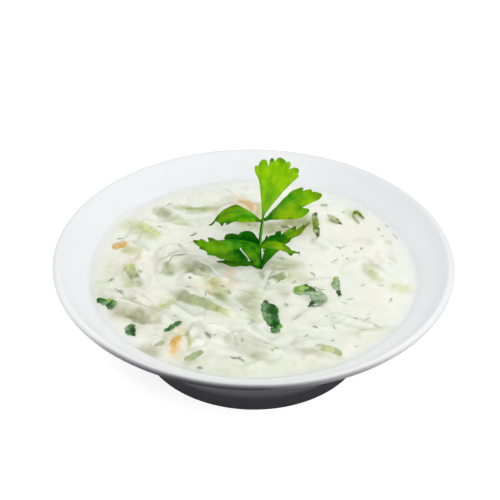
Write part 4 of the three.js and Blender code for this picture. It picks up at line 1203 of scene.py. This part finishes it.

# Leaflets: the node each grows from, where its tip lies from there, the way its face looks and how far its
# midrib arches up. Then, on the flat leaf with x across and y along the line to its tip: the corners of its
# left and right margins from the foot to the tip, the ends of its veins, and patches as
# (x, y, size, tone from deep 0 to bright 1, brown). These points were read off the photo and turned into
# millimetres in the same way, and most of the tones follow readings of the photo's green at them.
# painted light and shade: dark tone patches paint the shade where leaflets shade one another, among the
# leaves' own greens
LEAFLETS = [
    (TOP_NODE, (7.3, 8.6, 29), (0.1, -0.9, 0.35), 0, [
        (-0.5, -0.4), (-1.1, 2.6), (-2.2, 6.4), (-3.5, 10.2), (-4.8, 13.9), (-6, 17.1), (-7.4, 19.6),
        (-9, 21.4), (-9.9, 23.2), (-10.2, 24.7), (-9.6, 25.2), (-8.6, 25.2), (-8.5, 26.2), (-8.3, 27.5),
        (-7.7, 28.4), (-6.7, 28.8), (-5.5, 28.5), (-4.7, 27.4), (-3.9, 25.9), (-3.9, 27.6), (-4, 29),
        (-3.6, 30), (-2.7, 30), (-1.8, 29.2), (-1.3, 28.9),
    ], [
        (0.5, -0.4), (0.3, 2.4), (1, 4.4), (2, 6.9), (3.2, 9.8), (4.4, 12.5), (5.6, 15.3), (6.9, 17.6),
        (8.3, 19.9), (9.4, 21.9), (10.6, 23.6), (11, 24.8), (10.3, 25.4), (10.5, 26.6), (10, 27.8),
        (9, 28.4), (7.5, 28.1), (6.5, 27.6), (5.6, 26.9), (5.9, 28.2), (5.9, 29.4), (5.2, 30.3), (4.3, 30.3),
        (3.9, 29.7), (3.2, 30.3), (2, 30.8), (0.8, 31.1), (-0.4, 30.7), (-1.1, 29.8),
    ], [
        (-6.7, 26.4), (-2.8, 28.3), (0.9, 28.7), (4.4, 28), (8.7, 26.5),
    ], [
        (-8.5, 24, 2.5, 0.6, 0.15), (-6.3, 27, 2, 0.75, 0.3), (-4.5, 23.5, 3, 0.7, 0),
        (-3.2, 29.5, 1, 0.1, 0.4), (-0.4, 26.4, 3, 0.7, 0), (0.8, 30.1, 1.5, 0.4, 0.35),
        (6.4, 25.9, 3.5, 0.8, 0.15), (9.4, 27.6, 1.3, 0.6, 0.6), (4.9, 20.6, 3.5, 0.78, 0.1),
        (-4.7, 18.9, 2.5, 0.66, 0), (-2, 14, 3, 0.6, 0), (3.6, 14.8, 2.5, 0.66, 0),
        (-0.4, 9.4, 2.5, 0.62, 0.1), (-0.5, 5.3, 2, 0.65, 0.1), (-0.3, 1.8, 1.5, 0.5, 0.3),
    ]),
    (TOP_NODE, (27, -1, 16.4), (0, -0.8, 0.6), 1, [
        (-0.5, -0.3), (-0.3, 1.9), (-1.3, 4.5), (-2.3, 7.7), (-3.2, 10.3), (-4.3, 13), (-5, 15.5),
        (-5.8, 17.7), (-6.1, 19.7), (-5.9, 21.5), (-5.9, 23.1), (-5.5, 24), (-4.7, 24), (-4, 23.3),
        (-3.9, 24.6), (-3.6, 26.3), (-3.1, 27.4), (-2.4, 27.6), (-1.9, 27.5), (-1.3, 28.9), (-0.4, 30.1),
        (0.5, 31.1),
    ], [
        (0.5, -0.3), (1.3, 1.1), (1.7, 3.1), (3.1, 6.2), (4.4, 9.4), (5.7, 12.5), (6.8, 15.2), (7.2, 17.5),
        (7, 19.4), (6.4, 21.3), (5.7, 22.6), (4.7, 22.5), (3.9, 21.4), (3.1, 20), (2.9, 20.8), (2.8, 22.5),
        (2.7, 24.6), (2.7, 26.8), (2.6, 28.8), (2, 30.3), (1.3, 31.1),
    ], [
        (-4.5, 22.2), (-2.4, 26), (0.5, 29.4), (4.8, 19.9),
    ], [
        (-0.6, 3.1, 1.5, 0.1, 0.1), (-1.2, 6.7, 1.5, 0.3, 0.4), (-2.7, 11.1, 2, 0.32, 0.2),
        (-3.4, 15.2, 2, 0.4, 0), (-5, 20.3, 1.5, 0.5, 0.3), (-5.2, 23.6, 1, 0.55, 0.7),
        (-2.6, 20.7, 2, 0.55, 0), (-2.6, 25.5, 2, 0.6, 0.3), (0.7, 29.3, 2, 0.65, 0.5),
        (0.8, 25, 2.5, 0.7, 0), (-1, 18.4, 2, 0.42, 0.1), (1.4, 21.5, 1.5, 0.72, 0.1),
        (-1.3, 12.1, 1.5, 0.4, 0.1), (1.4, 14.6, 2.5, 0.75, 0.3), (1.1, 8.3, 2, 0.75, 0.2),
        (2.9, 12.2, 3, 0.85, 0.3), (3.1, 19.3, 0.8, 0.3, 0.2), (2.9, 17, 1, 0.4, 0.1),
        (4.9, 20.4, 1.5, 0.5, 0.1), (5.7, 17.4, 2, 0.65, 0.1), (5.2, 12.2, 1, 0.4, 0.5),
        (2.7, 6.4, 1, 0.4, 0.4),
    ]),
    (TOP_NODE, (-25, 1, -3.4), (0.1, -0.75, 0.65), 12, [
        (0.4, 0), (-0.8, 1.2), (-0.5, 2.4), (0.2, 3.9), (0.8, 6), (1.5, 8.4), (2.4, 10.4), (3.2, 12.5),
        (2.9, 14.4), (2.4, 16.6), (2.2, 18.5), (1.6, 20), (1.1, 21.4), (0.4, 22.5), (-0.2, 23.3),
        (-0.4, 24.5), (-0.1, 25.9),
    ], [
        (-0.4, -0.4), (-1.8, 0.9), (-2.8, 2.6), (-3.5, 4.3), (-4.5, 6.3), (-5.2, 8.7), (-5.3, 11.1),
        (-4.9, 13.2), (-5.1, 15.2), (-5.5, 16.6), (-5.5, 17.7), (-4.7, 17.5), (-4.1, 18.5), (-4.8, 19),
        (-4.7, 20.1), (-3.7, 20.4), (-2.2, 21.4), (-1.1, 22.6), (-1.6, 23.4), (-1.4, 24.7),
    ], [
        (0.2, 21.2), (-3, 17.6), (1.5, 12.6),
    ], [
        (-1.3, 2.1, 1.2, 0.1, 0.5), (-3.4, 4.8, 1, 0.85, 0.3), (-4.6, 7.4, 1.2, 0.9, 0.25),
        (-4.9, 10.6, 1.2, 0.8, 0.2), (-0.5, 4.2, 1.5, 0.45, 0.1), (-0.9, 7.6, 2.5, 0.45, 0),
        (1, 10.3, 1.5, 0.4, 0.3), (2.4, 12.6, 1.5, 0.4, 0.8), (1.9, 15.7, 1.5, 0.35, 0.65),
        (1.2, 18.6, 1.5, 0.45, 0.6), (-0.6, 12.8, 2, 0.5, 0.1), (-0.7, 16.1, 2, 0.5, 0.35),
        (-0.6, 19.4, 2, 0.55, 0.3), (0.1, 21.7, 1.5, 0.3, 0.4), (-0.5, 23.7, 1.5, 0.1, 0.6),
        (-0.4, 25.3, 1, 0.2, 0.8), (-2.8, 11, 2, 0.33, 0), (-2.3, 7.2, 1.5, 0.35, 0),
        (-2.8, 17.6, 1.5, 0.3, 0.2), (-4.2, 20.1, 1, 0.05, 0.5), (-5.2, 17.3, 1, 0.05, 0.4),
    ]),
    (LOW_NODE, (-31.5, -5, 6), (0, -0.7, 0.7), 1, [
        (0.5, -0.3), (0.8, 1.4), (1.8, 5.6), (2.1, 10.5), (2, 14.3), (1.7, 17.7), (1.3, 19.8), (1.2, 21.3),
        (1.6, 22.5), (2.2, 24), (2.3, 25.7), (1.4, 25.9), (0.4, 25.4), (0.1, 26.1), (0.6, 27.1), (1.3, 28.3),
        (1.4, 29.5), (0.8, 30), (0.8, 31.3), (0.8, 33),
    ], [
        (-0.5, -0.3), (-0.6, 1.2), (-1, 4.5), (-1.3, 7.9), (-1.7, 10.5), (-3.1, 9.7), (-5, 8), (-7.2, 6.2),
        (-8.1, 9.1), (-8.4, 13), (-8.4, 16.4), (-7.7, 18), (-7.7, 19.5), (-7.1, 21), (-6.4, 22.4),
        (-6.3, 24.4), (-6, 25.9), (-4.7, 26.2), (-4, 27.3), (-3.6, 28.8), (-3.2, 29.9), (-2.4, 29.8),
        (-1.8, 30.9), (-0.9, 31.9), (0, 32.8),
    ], [
        (0.4, 31.6), (0.5, 27.7), (1.1, 23.9), (-2.9, 28.6), (-5, 24.2), (-6.7, 19.8),
    ], [
        (0.4, 32.3, 1, 0, 0.6), (-0.5, 30.1, 1.2, 0.5, 0.3), (0.2, 28.2, 1.2, 0.5, 0.4),
        (-1.3, 25.8, 1.8, 0.6, 0.1), (1.6, 24.2, 1.3, 0.15, 0.6), (0.1, 21, 1.8, 0.4, 0.4),
        (-2.5, 27.6, 1.2, 0.3, 0.2), (-3.3, 29.3, 0.8, 0.2, 0.5), (-2.6, 23.3, 2, 0.62, 0.15),
        (-2, 19.5, 2, 0.45, 0.25), (-5.2, 24.6, 1.5, 0.35, 0.4), (-5.6, 21.3, 1.8, 0.28, 0.4),
        (-4.3, 18.4, 2, 0.45, 0.3), (-6.9, 18.8, 1.2, 0.25, 0.4), (0, 15.7, 2, 0.42, 0),
        (0.3, 11.8, 2, 0.28, 0), (0.4, 7.5, 2, 0.2, 0), (0.8, 3.6, 2, 0.35, 0), (-2.2, 16.1, 1.5, 0.4, 0.1),
        (-1.3, 11.8, 1, 0.4, 0.2), (-3.5, 14.6, 1, 0.25, 0.1), (-3.3, 11.7, 1.5, 0, 0),
        (-5.4, 8.7, 1.5, 0, 0), (-6.4, 15.5, 1.8, 0.3, 0.4), (-6.4, 12.1, 1.2, 0.2, 0.2),
    ]),
    (LOW_NODE, (-13, 7, -1), (0, -0.8, 0.6), 2, [
        (0.5, -0.3), (2, 1.5), (3.1, 3.2), (4.1, 4.5), (4.8, 6), (4.9, 7.9), (4.6, 9.7), (3.9, 11.4),
        (3.4, 12.5), (2.5, 13), (2.7, 14.6), (3, 16.7), (2.9, 18.6), (2.4, 20), (1.4, 20.2),
    ], [
        (-0.5, 0), (0.2, 2.5), (-1, 8), (-1.5, 13.3), (-0.6, 18.2), (0.6, 20.2),
    ], [
        (2.3, 12.3), (1.8, 17.6),
    ], [
        (1.9, 19, 1.2, 0.05, 0.3), (1.9, 15.4, 1.5, 0.1, 0.2), (2.6, 12.1, 1, 0.25, 0.2),
        (3.4, 8.2, 2, 0.08, 0), (3.7, 5.1, 1.5, 0.1, 0), (1, 8, 2.5, 0, 0), (0.2, 14.9, 2.5, 0, 0),
    ]),
    (LOW_NODE, (23, 7.5, 7.5), (0, -0.8, 0.6), 0.5, [
        (-0.5, -0.3), (-1.9, 1.3), (-2.4, 2.7), (-3.2, 3.5), (-3.9, 4.4), (-3.2, 4.6), (-2.6, 4.8),
        (-3, 5.6), (-2.8, 6.8), (-2.5, 8), (-3.1, 8.8), (-3.4, 9.8), (-2.9, 11.3), (-2.1, 11.2),
        (-1.1, 11.1), (-1.6, 12.4), (-2, 14.2), (-2.1, 16), (-2.3, 17.4), (-2.3, 18.8), (-1.3, 18.7),
        (-0.2, 18.2), (-0.7, 19.8), (-1.1, 21.5), (-1.3, 22.5), (-0.9, 23.4), (-1.2, 25.1), (-1.6, 26.5),
    ], [
        (0.5, -0.2), (-0.1, 1.8), (1.4, 4.9), (3.3, 8.7), (3.8, 10.9), (3.5, 13.1), (2.7, 14.3), (2.5, 16.1),
        (2.6, 17.9), (2.3, 19.5), (1.5, 20.8), (0.8, 21.9), (0.1, 23.2), (-0.4, 24.6),
    ], [
        (-2.9, 8.9), (-1.7, 17.7), (-1.2, 23.7), (1.7, 18.3),
    ], [
        (-2.7, 3.6, 1, 0, 0.1), (-1.8, 5.8, 1.5, 0, 0), (-1.4, 8.8, 1.5, 0, 0), (-2.4, 10.7, 1, 0, 0.1),
        (0.6, 11.5, 1.3, 0.1, 0.1), (2.5, 10.6, 1.3, 0.3, 0.2), (-1, 14.3, 1.5, 0.5, 0.3),
        (-1.8, 18, 1, 0.1, 0.5), (1.1, 14.4, 1.3, 0.55, 0.35), (0.8, 16.8, 1.3, 0.6, 0.5),
        (0.2, 20.2, 1.3, 0.5, 0.7), (-0.7, 22.5, 1, 0.2, 0.7), (-1.1, 25, 1, 0.3, 0.8),
        (1.8, 18.2, 1, 0.6, 0.8), (2.9, 13.8, 1, 0.2, 0.5), (0.6, 6.3, 2.5, 0.2, 0.1),
    ]),
    (LOW_NODE, (18.8, -7, -0.5), (0, -0.6, 0.8), 1.5, [
        (-0.5, -0.3), (-2, 0.2), (-3, 1.6), (-3.5, 3.7), (-3.8, 6.1), (-3.6, 8.4), (-3.2, 10.6),
        (-2.7, 12.3), (-2.2, 13.5), (-1.4, 14.6), (-1.6, 15.9), (-1.6, 17.4), (-2, 18.7),
    ], [
        (0.7, 0.2), (1.2, 2.2), (1.3, 4.8), (0.8, 7.4), (0.1, 9.1), (0.1, 10.9), (0.3, 12.5), (1, 13.9),
        (1.3, 15), (0.8, 15.8), (0, 15.8), (-0.6, 16.9), (-1.3, 18.7),
    ], [
        (-1.7, 11.8), (-1.4, 17.4), (0.4, 15),
    ], [
        (-1.2, 0.9, 1.5, 0.5, 0.1), (-2.2, 3.6, 2, 0.55, 0.1), (-2.3, 7.1, 2, 0.6, 0.1),
        (-1.1, 9, 1.2, 0.95, 0.2), (-2.5, 10.8, 1.3, 0.5, 0.3), (-0.1, 5.3, 1.5, 0.38, 0.1),
        (0.1, 2.4, 1.3, 0.3, 0.1), (-1.8, 13, 1.2, 0.3, 0.4), (-0.4, 14.3, 1.3, 0.35, 0.3),
        (-1, 16.3, 1, 0.4, 0.7), (-1.6, 18.4, 0.8, 0.4, 1), (0.7, 15.4, 0.8, 0, 0.2),
        (-0.1, 12.3, 1.2, 0.5, 0.3),
    ]),
    (FOOT_NODE, (-22.5, -2.5, 12.8), (0, -0.8, 0.6), 1, [
        (-1, 2.9), (-0.1, 5.8), (-0.8, 8.5), (-1.9, 11.9), (-3.1, 15.7), (-4.2, 18.2), (-5.1, 20.3),
        (-5.9, 22),
    ], [
        (-1.9, 0.6), (-1.9, 2.8), (-1.9, 5), (-2.9, 6.6), (-3.9, 9.4), (-4.5, 10.7), (-5.5, 12.5),
        (-6, 14.6), (-5.8, 16.4), (-5.8, 18.6), (-6.3, 20.5), (-6.1, 21.9),
    ], [
        (-3.6, 15.5), (-5.7, 20), (-4, 11),
    ], [
        (-5.8, 20.8, 1.2, 0, 0.5), (-5, 18.1, 1.5, 0.15, 0.2), (-4, 15.3, 1.5, 0.2, 0.2),
        (-5.5, 14.7, 1, 0.4, 0.7), (-3.7, 12.2, 1.5, 0.25, 0.2), (-1.9, 9.7, 1.5, 0.1, 0.1),
        (-3.7, 10, 0.8, 0.2, 0.3), (-1.2, 6.7, 1.5, 0.15, 0.2), (-1.1, 3.4, 1, 0.15, 0.2),
        (-1.8, 1.2, 1, 0, 0.2),
    ]),
    (FOOT_NODE, (10.5, -2.5, 18.3), (0, -0.8, 0.6), 1, [
        (0.5, -0.9), (-0.5, 1.3), (-1.6, 3.5), (-2.4, 5.6), (-2.8, 7.2), (-3.8, 8.2),
    ], [
        (1.1, 0), (1, 2.4), (1.2, 4.9), (1.5, 7.5), (1.7, 9.9), (1.8, 12), (2, 13.8),
    ], [
        (-2.2, 8), (1.1, 12.1),
    ], [
        (-2.6, 8.6, 2, 0.2, 0), (-0.3, 10.6, 2, 0.28, 0), (1.6, 12.7, 1.2, 0.25, 0.4),
        (-1, 6.2, 1.5, 0.15, 0.1), (0.6, 7.8, 1.5, 0.22, 0.1), (0.7, 5.4, 1.2, 0.12, 0.1),
        (0.1, 1.6, 1.5, 0, 0), (-3.8, 9, 1.2, 0.05, 0),
    ]),
    (FOOT_NODE, (-2.8, -5, 16), (0, -0.9, 0.4), 0, [
        (-1.8, -1.8), (-3, 1.4), (-4, 4.6), (-4.5, 7.2), (-5.1, 10.5), (-6, 13.9), (-6.8, 16.9), (-5.8, 18),
    ], [
        (-0.7, -1.3), (0.1, 3.3), (0.9, 8.7), (1.5, 13.3), (1.3, 16.3), (-1.5, 17.8),
    ], [
        (-6.1, 15.9), (-1.8, 16),
    ], [
        (-6, 15.4, 1.2, 0.3, 0.2), (-3, 14.4, 2, 0.35, 0), (-0.5, 15.1, 1.5, 0.3, 0), (0.9, 13.9, 1, 0.5, 0),
        (-3.6, 11, 1.5, 0.45, 0.2), (-2.1, 8.1, 1.5, 0.3, 0.1), (-0.3, 7.5, 1.2, 0.22, 0.1),
        (-3.5, 5.4, 1, 0.1, 0.1), (-2, 3.2, 1, 0.4, 0.2), (-1.2, 0.1, 1.2, 0.25, 0),
    ]),
]


def leaflet(base, row, seed):
    """Points, faces and masks of one leaflet."""
    node, tip, face, arch, left, right, vein_ends, patches = row
    start, tip = base + np.array(node, float), np.array(tip, float)
    length = np.linalg.norm(tip)
    bend = start + tip / 2 + (0, 0, arch)
    across = unit(np.cross(tip, face))
    normal = unit(np.cross(across, tip))
    outline = rounded([*left, *right[::-1]], 3)

    def veins(flat, width):
        gaps = [gap_to(np.array([[0, 0.1 * length], end]), flat) for end in vein_ends]
        return np.exp(-((np.min(gaps, axis=0) / width) ** 2))

    def place(flat, gap):
        x, y = flat.T
        k = (y / length)[:, None]
        midrib = (1 - k) ** 2 * start + 2 * k * (1 - k) * bend + k * k * (start + tip)
        out = smoothstep(np.hypot(x, y) / length, 0.1, 0.9)
        wave = 0.5 * noise(x, y, 6, 300 + seed) + 0.25 * noise(x, y, 2.8, 320 + seed)
        lift = 0.06 * np.abs(x) + out * wave - 0.25 * veins(flat, 0.8)
        return midrib + across * x[:, None] + normal * lift[:, None], normal

    points, faces, flat, gap = leaf(outline, LEAF_SPACING, LEAF_THICKNESS, place)
    vein = 0.22 * veins(flat, 0.3) * (1 - smoothstep(flat[:, 1] / length, 0.6, 0.95))
    vein = vein * smoothstep(patched(patches, flat, 3), 0.1, 0.4)
    margin = np.exp(-((gap / 0.4) ** 2))
    bearing = np.arctan2(flat[:, 0], flat[:, 1] + 0.15 * length)
    streaks = 0.22 * noise(16 * bearing, flat[:, 1] / 8, 1, 330 + seed)
    streaks = streaks + 0.1 * noise(*flat.T, 2.2, 340 + seed)
    # painted light and shade: the patched tones are partly the leaves' own greens, partly shade and light
    # painted on them
    tone = 0.03 + 1.28 * patched(patches, flat, 3) + 0.8 * streaks - 0.08 * margin
    brown = 0.8 * patched(patches, flat, 4) + 0.04 * margin
    masks = {"tone": tone, "vein": vein, "brown": brown}
    return points, faces, {name: np.tile(np.clip(values, 0, 1), 2) for name, values in masks.items()}


def sprig_base():
    """Where the stem leaves the dip: the height of the larger lumps' surface there."""
    x, y = SPRIG_BASE
    dome, swell = dome_and_swell(x, y)
    lift, _ = heap(LARGE_LUMPS, np.array([x]), np.array([y]))
    return np.array([x, y, DIP_LEVEL + dome + swell + lift[0]])


def make_sprig(material):
    base = sprig_base()
    path = smooth_run([(0, -1, -STEM_BURIED), (0, 0, 0), (-0.8, 2.8, 11), TOP_NODE], 10) + base
    points, faces = tube(path, np.linspace(STEM_RADIUS, STEM_TOP_RADIUS, len(path)), STEM_SIDES)
    # painted light: the stem is paler on its +X side above the lower leaves
    painted_light_side = smoothstep((points - np.repeat(path, STEM_SIDES, axis=0))[:, 0], -0.3, 0.6)
    painted_light_side = painted_light_side * smoothstep(points[:, 2] - base[2], 9, 14)
    parts = [(points, faces, {"tone": 0.05 + 0.6 * painted_light_side, "vein": 0.9 * painted_light_side, "brown": 0.0})]
    parts += [leaflet(base, row, seed) for seed, row in enumerate(LEAFLETS)]
    add_piece("parsley", *joined(parts), material, "parsley", ["parsley_sprig"])


# ---------------------------------------------------------------- stage, light and camera
def make_floor():
    look = Look("pale_floor")
    look.set(Base_Color=look.mix(look.mottle(60), colour("fbfbfb"), colour("fdfdfd")), Roughness=0.9)
    look.set(Emission_Color=colour("ffffff"), Emission_Strength=FLOOR_GLOW)
    mesh = bpy.data.meshes.new("floor")
    corners = [(FLOOR_HALF * x, FLOOR_HALF * y, 0) for x, y in ((-1, -1), (1, -1), (1, 1), (-1, 1))]
    mesh.from_pydata(corners, [], [(0, 1, 2, 3)])
    mesh.materials.append(look.material)
    floor = bpy.data.objects.new("floor", mesh)
    bpy.context.scene.collection.objects.link(floor)


def make_light():
    """A white studio and one square softbox on the right that faces the bowl."""
    world = bpy.data.worlds.new("studio")
    world.use_nodes = True
    background = world.node_tree.nodes["Background"]
    background.inputs["Color"].default_value = (1, 1, 1, 1)
    background.inputs["Strength"].default_value = WORLD_STRENGTH
    bpy.context.scene.world = world
    light = bpy.data.lights.new("key", "AREA")
    light.size = KEY_SIZE
    light.energy = KEY_POWER
    lamp = bpy.data.objects.new("key", light)
    lamp.location = KEY_PLACE
    lamp.rotation_euler = (Vector(KEY_PLACE) - Vector(KEY_TARGET)).to_track_quat("Z", "Y").to_euler()
    bpy.context.scene.collection.objects.link(lamp)
    bpy.context.scene.view_settings.view_transform = "Standard"


def make_camera():
    """The camera looks along +Y and down, turned a little about its own axis."""
    elevation, roll = math.radians(CAMERA_ELEVATION), math.radians(CAMERA_ROLL)
    back = np.array([0, -math.cos(elevation), math.sin(elevation)])
    right = np.array([1.0, 0, 0])
    up = np.cross(back, right)
    turned_right = math.cos(roll) * right + math.sin(roll) * up
    turned_up = math.cos(roll) * up - math.sin(roll) * right
    lens = bpy.data.cameras.new("camera")
    lens.lens = LENS_LENGTH
    lens.sensor_width = SENSOR_WIDTH
    lens.clip_start, lens.clip_end = 0.05, 20
    camera = bpy.data.objects.new("camera", lens)
    place = (np.array(CAMERA_TARGET) + back * CAMERA_DISTANCE) * MM
    columns = np.column_stack([turned_right, turned_up, back])
    camera.matrix_world = Matrix.Translation(Vector(place)) @ Matrix(columns.tolist()).to_4x4()
    bpy.context.scene.collection.objects.link(camera)
    bpy.context.scene.camera = camera


# ---------------------------------------------------------------- the whole
make_camera()
make_light()
make_floor()
make_bowl(porcelain())
make_dip(yogurt())
cucumber_look = cucumber()
make_cucumbers(cucumber_look)
make_peel_bits(cucumber_look)
make_herbs(herb_leaf())
make_carrots(carrot())
make_dill(dill())
make_sprig(parsley())

bpy.context.view_layer.update()
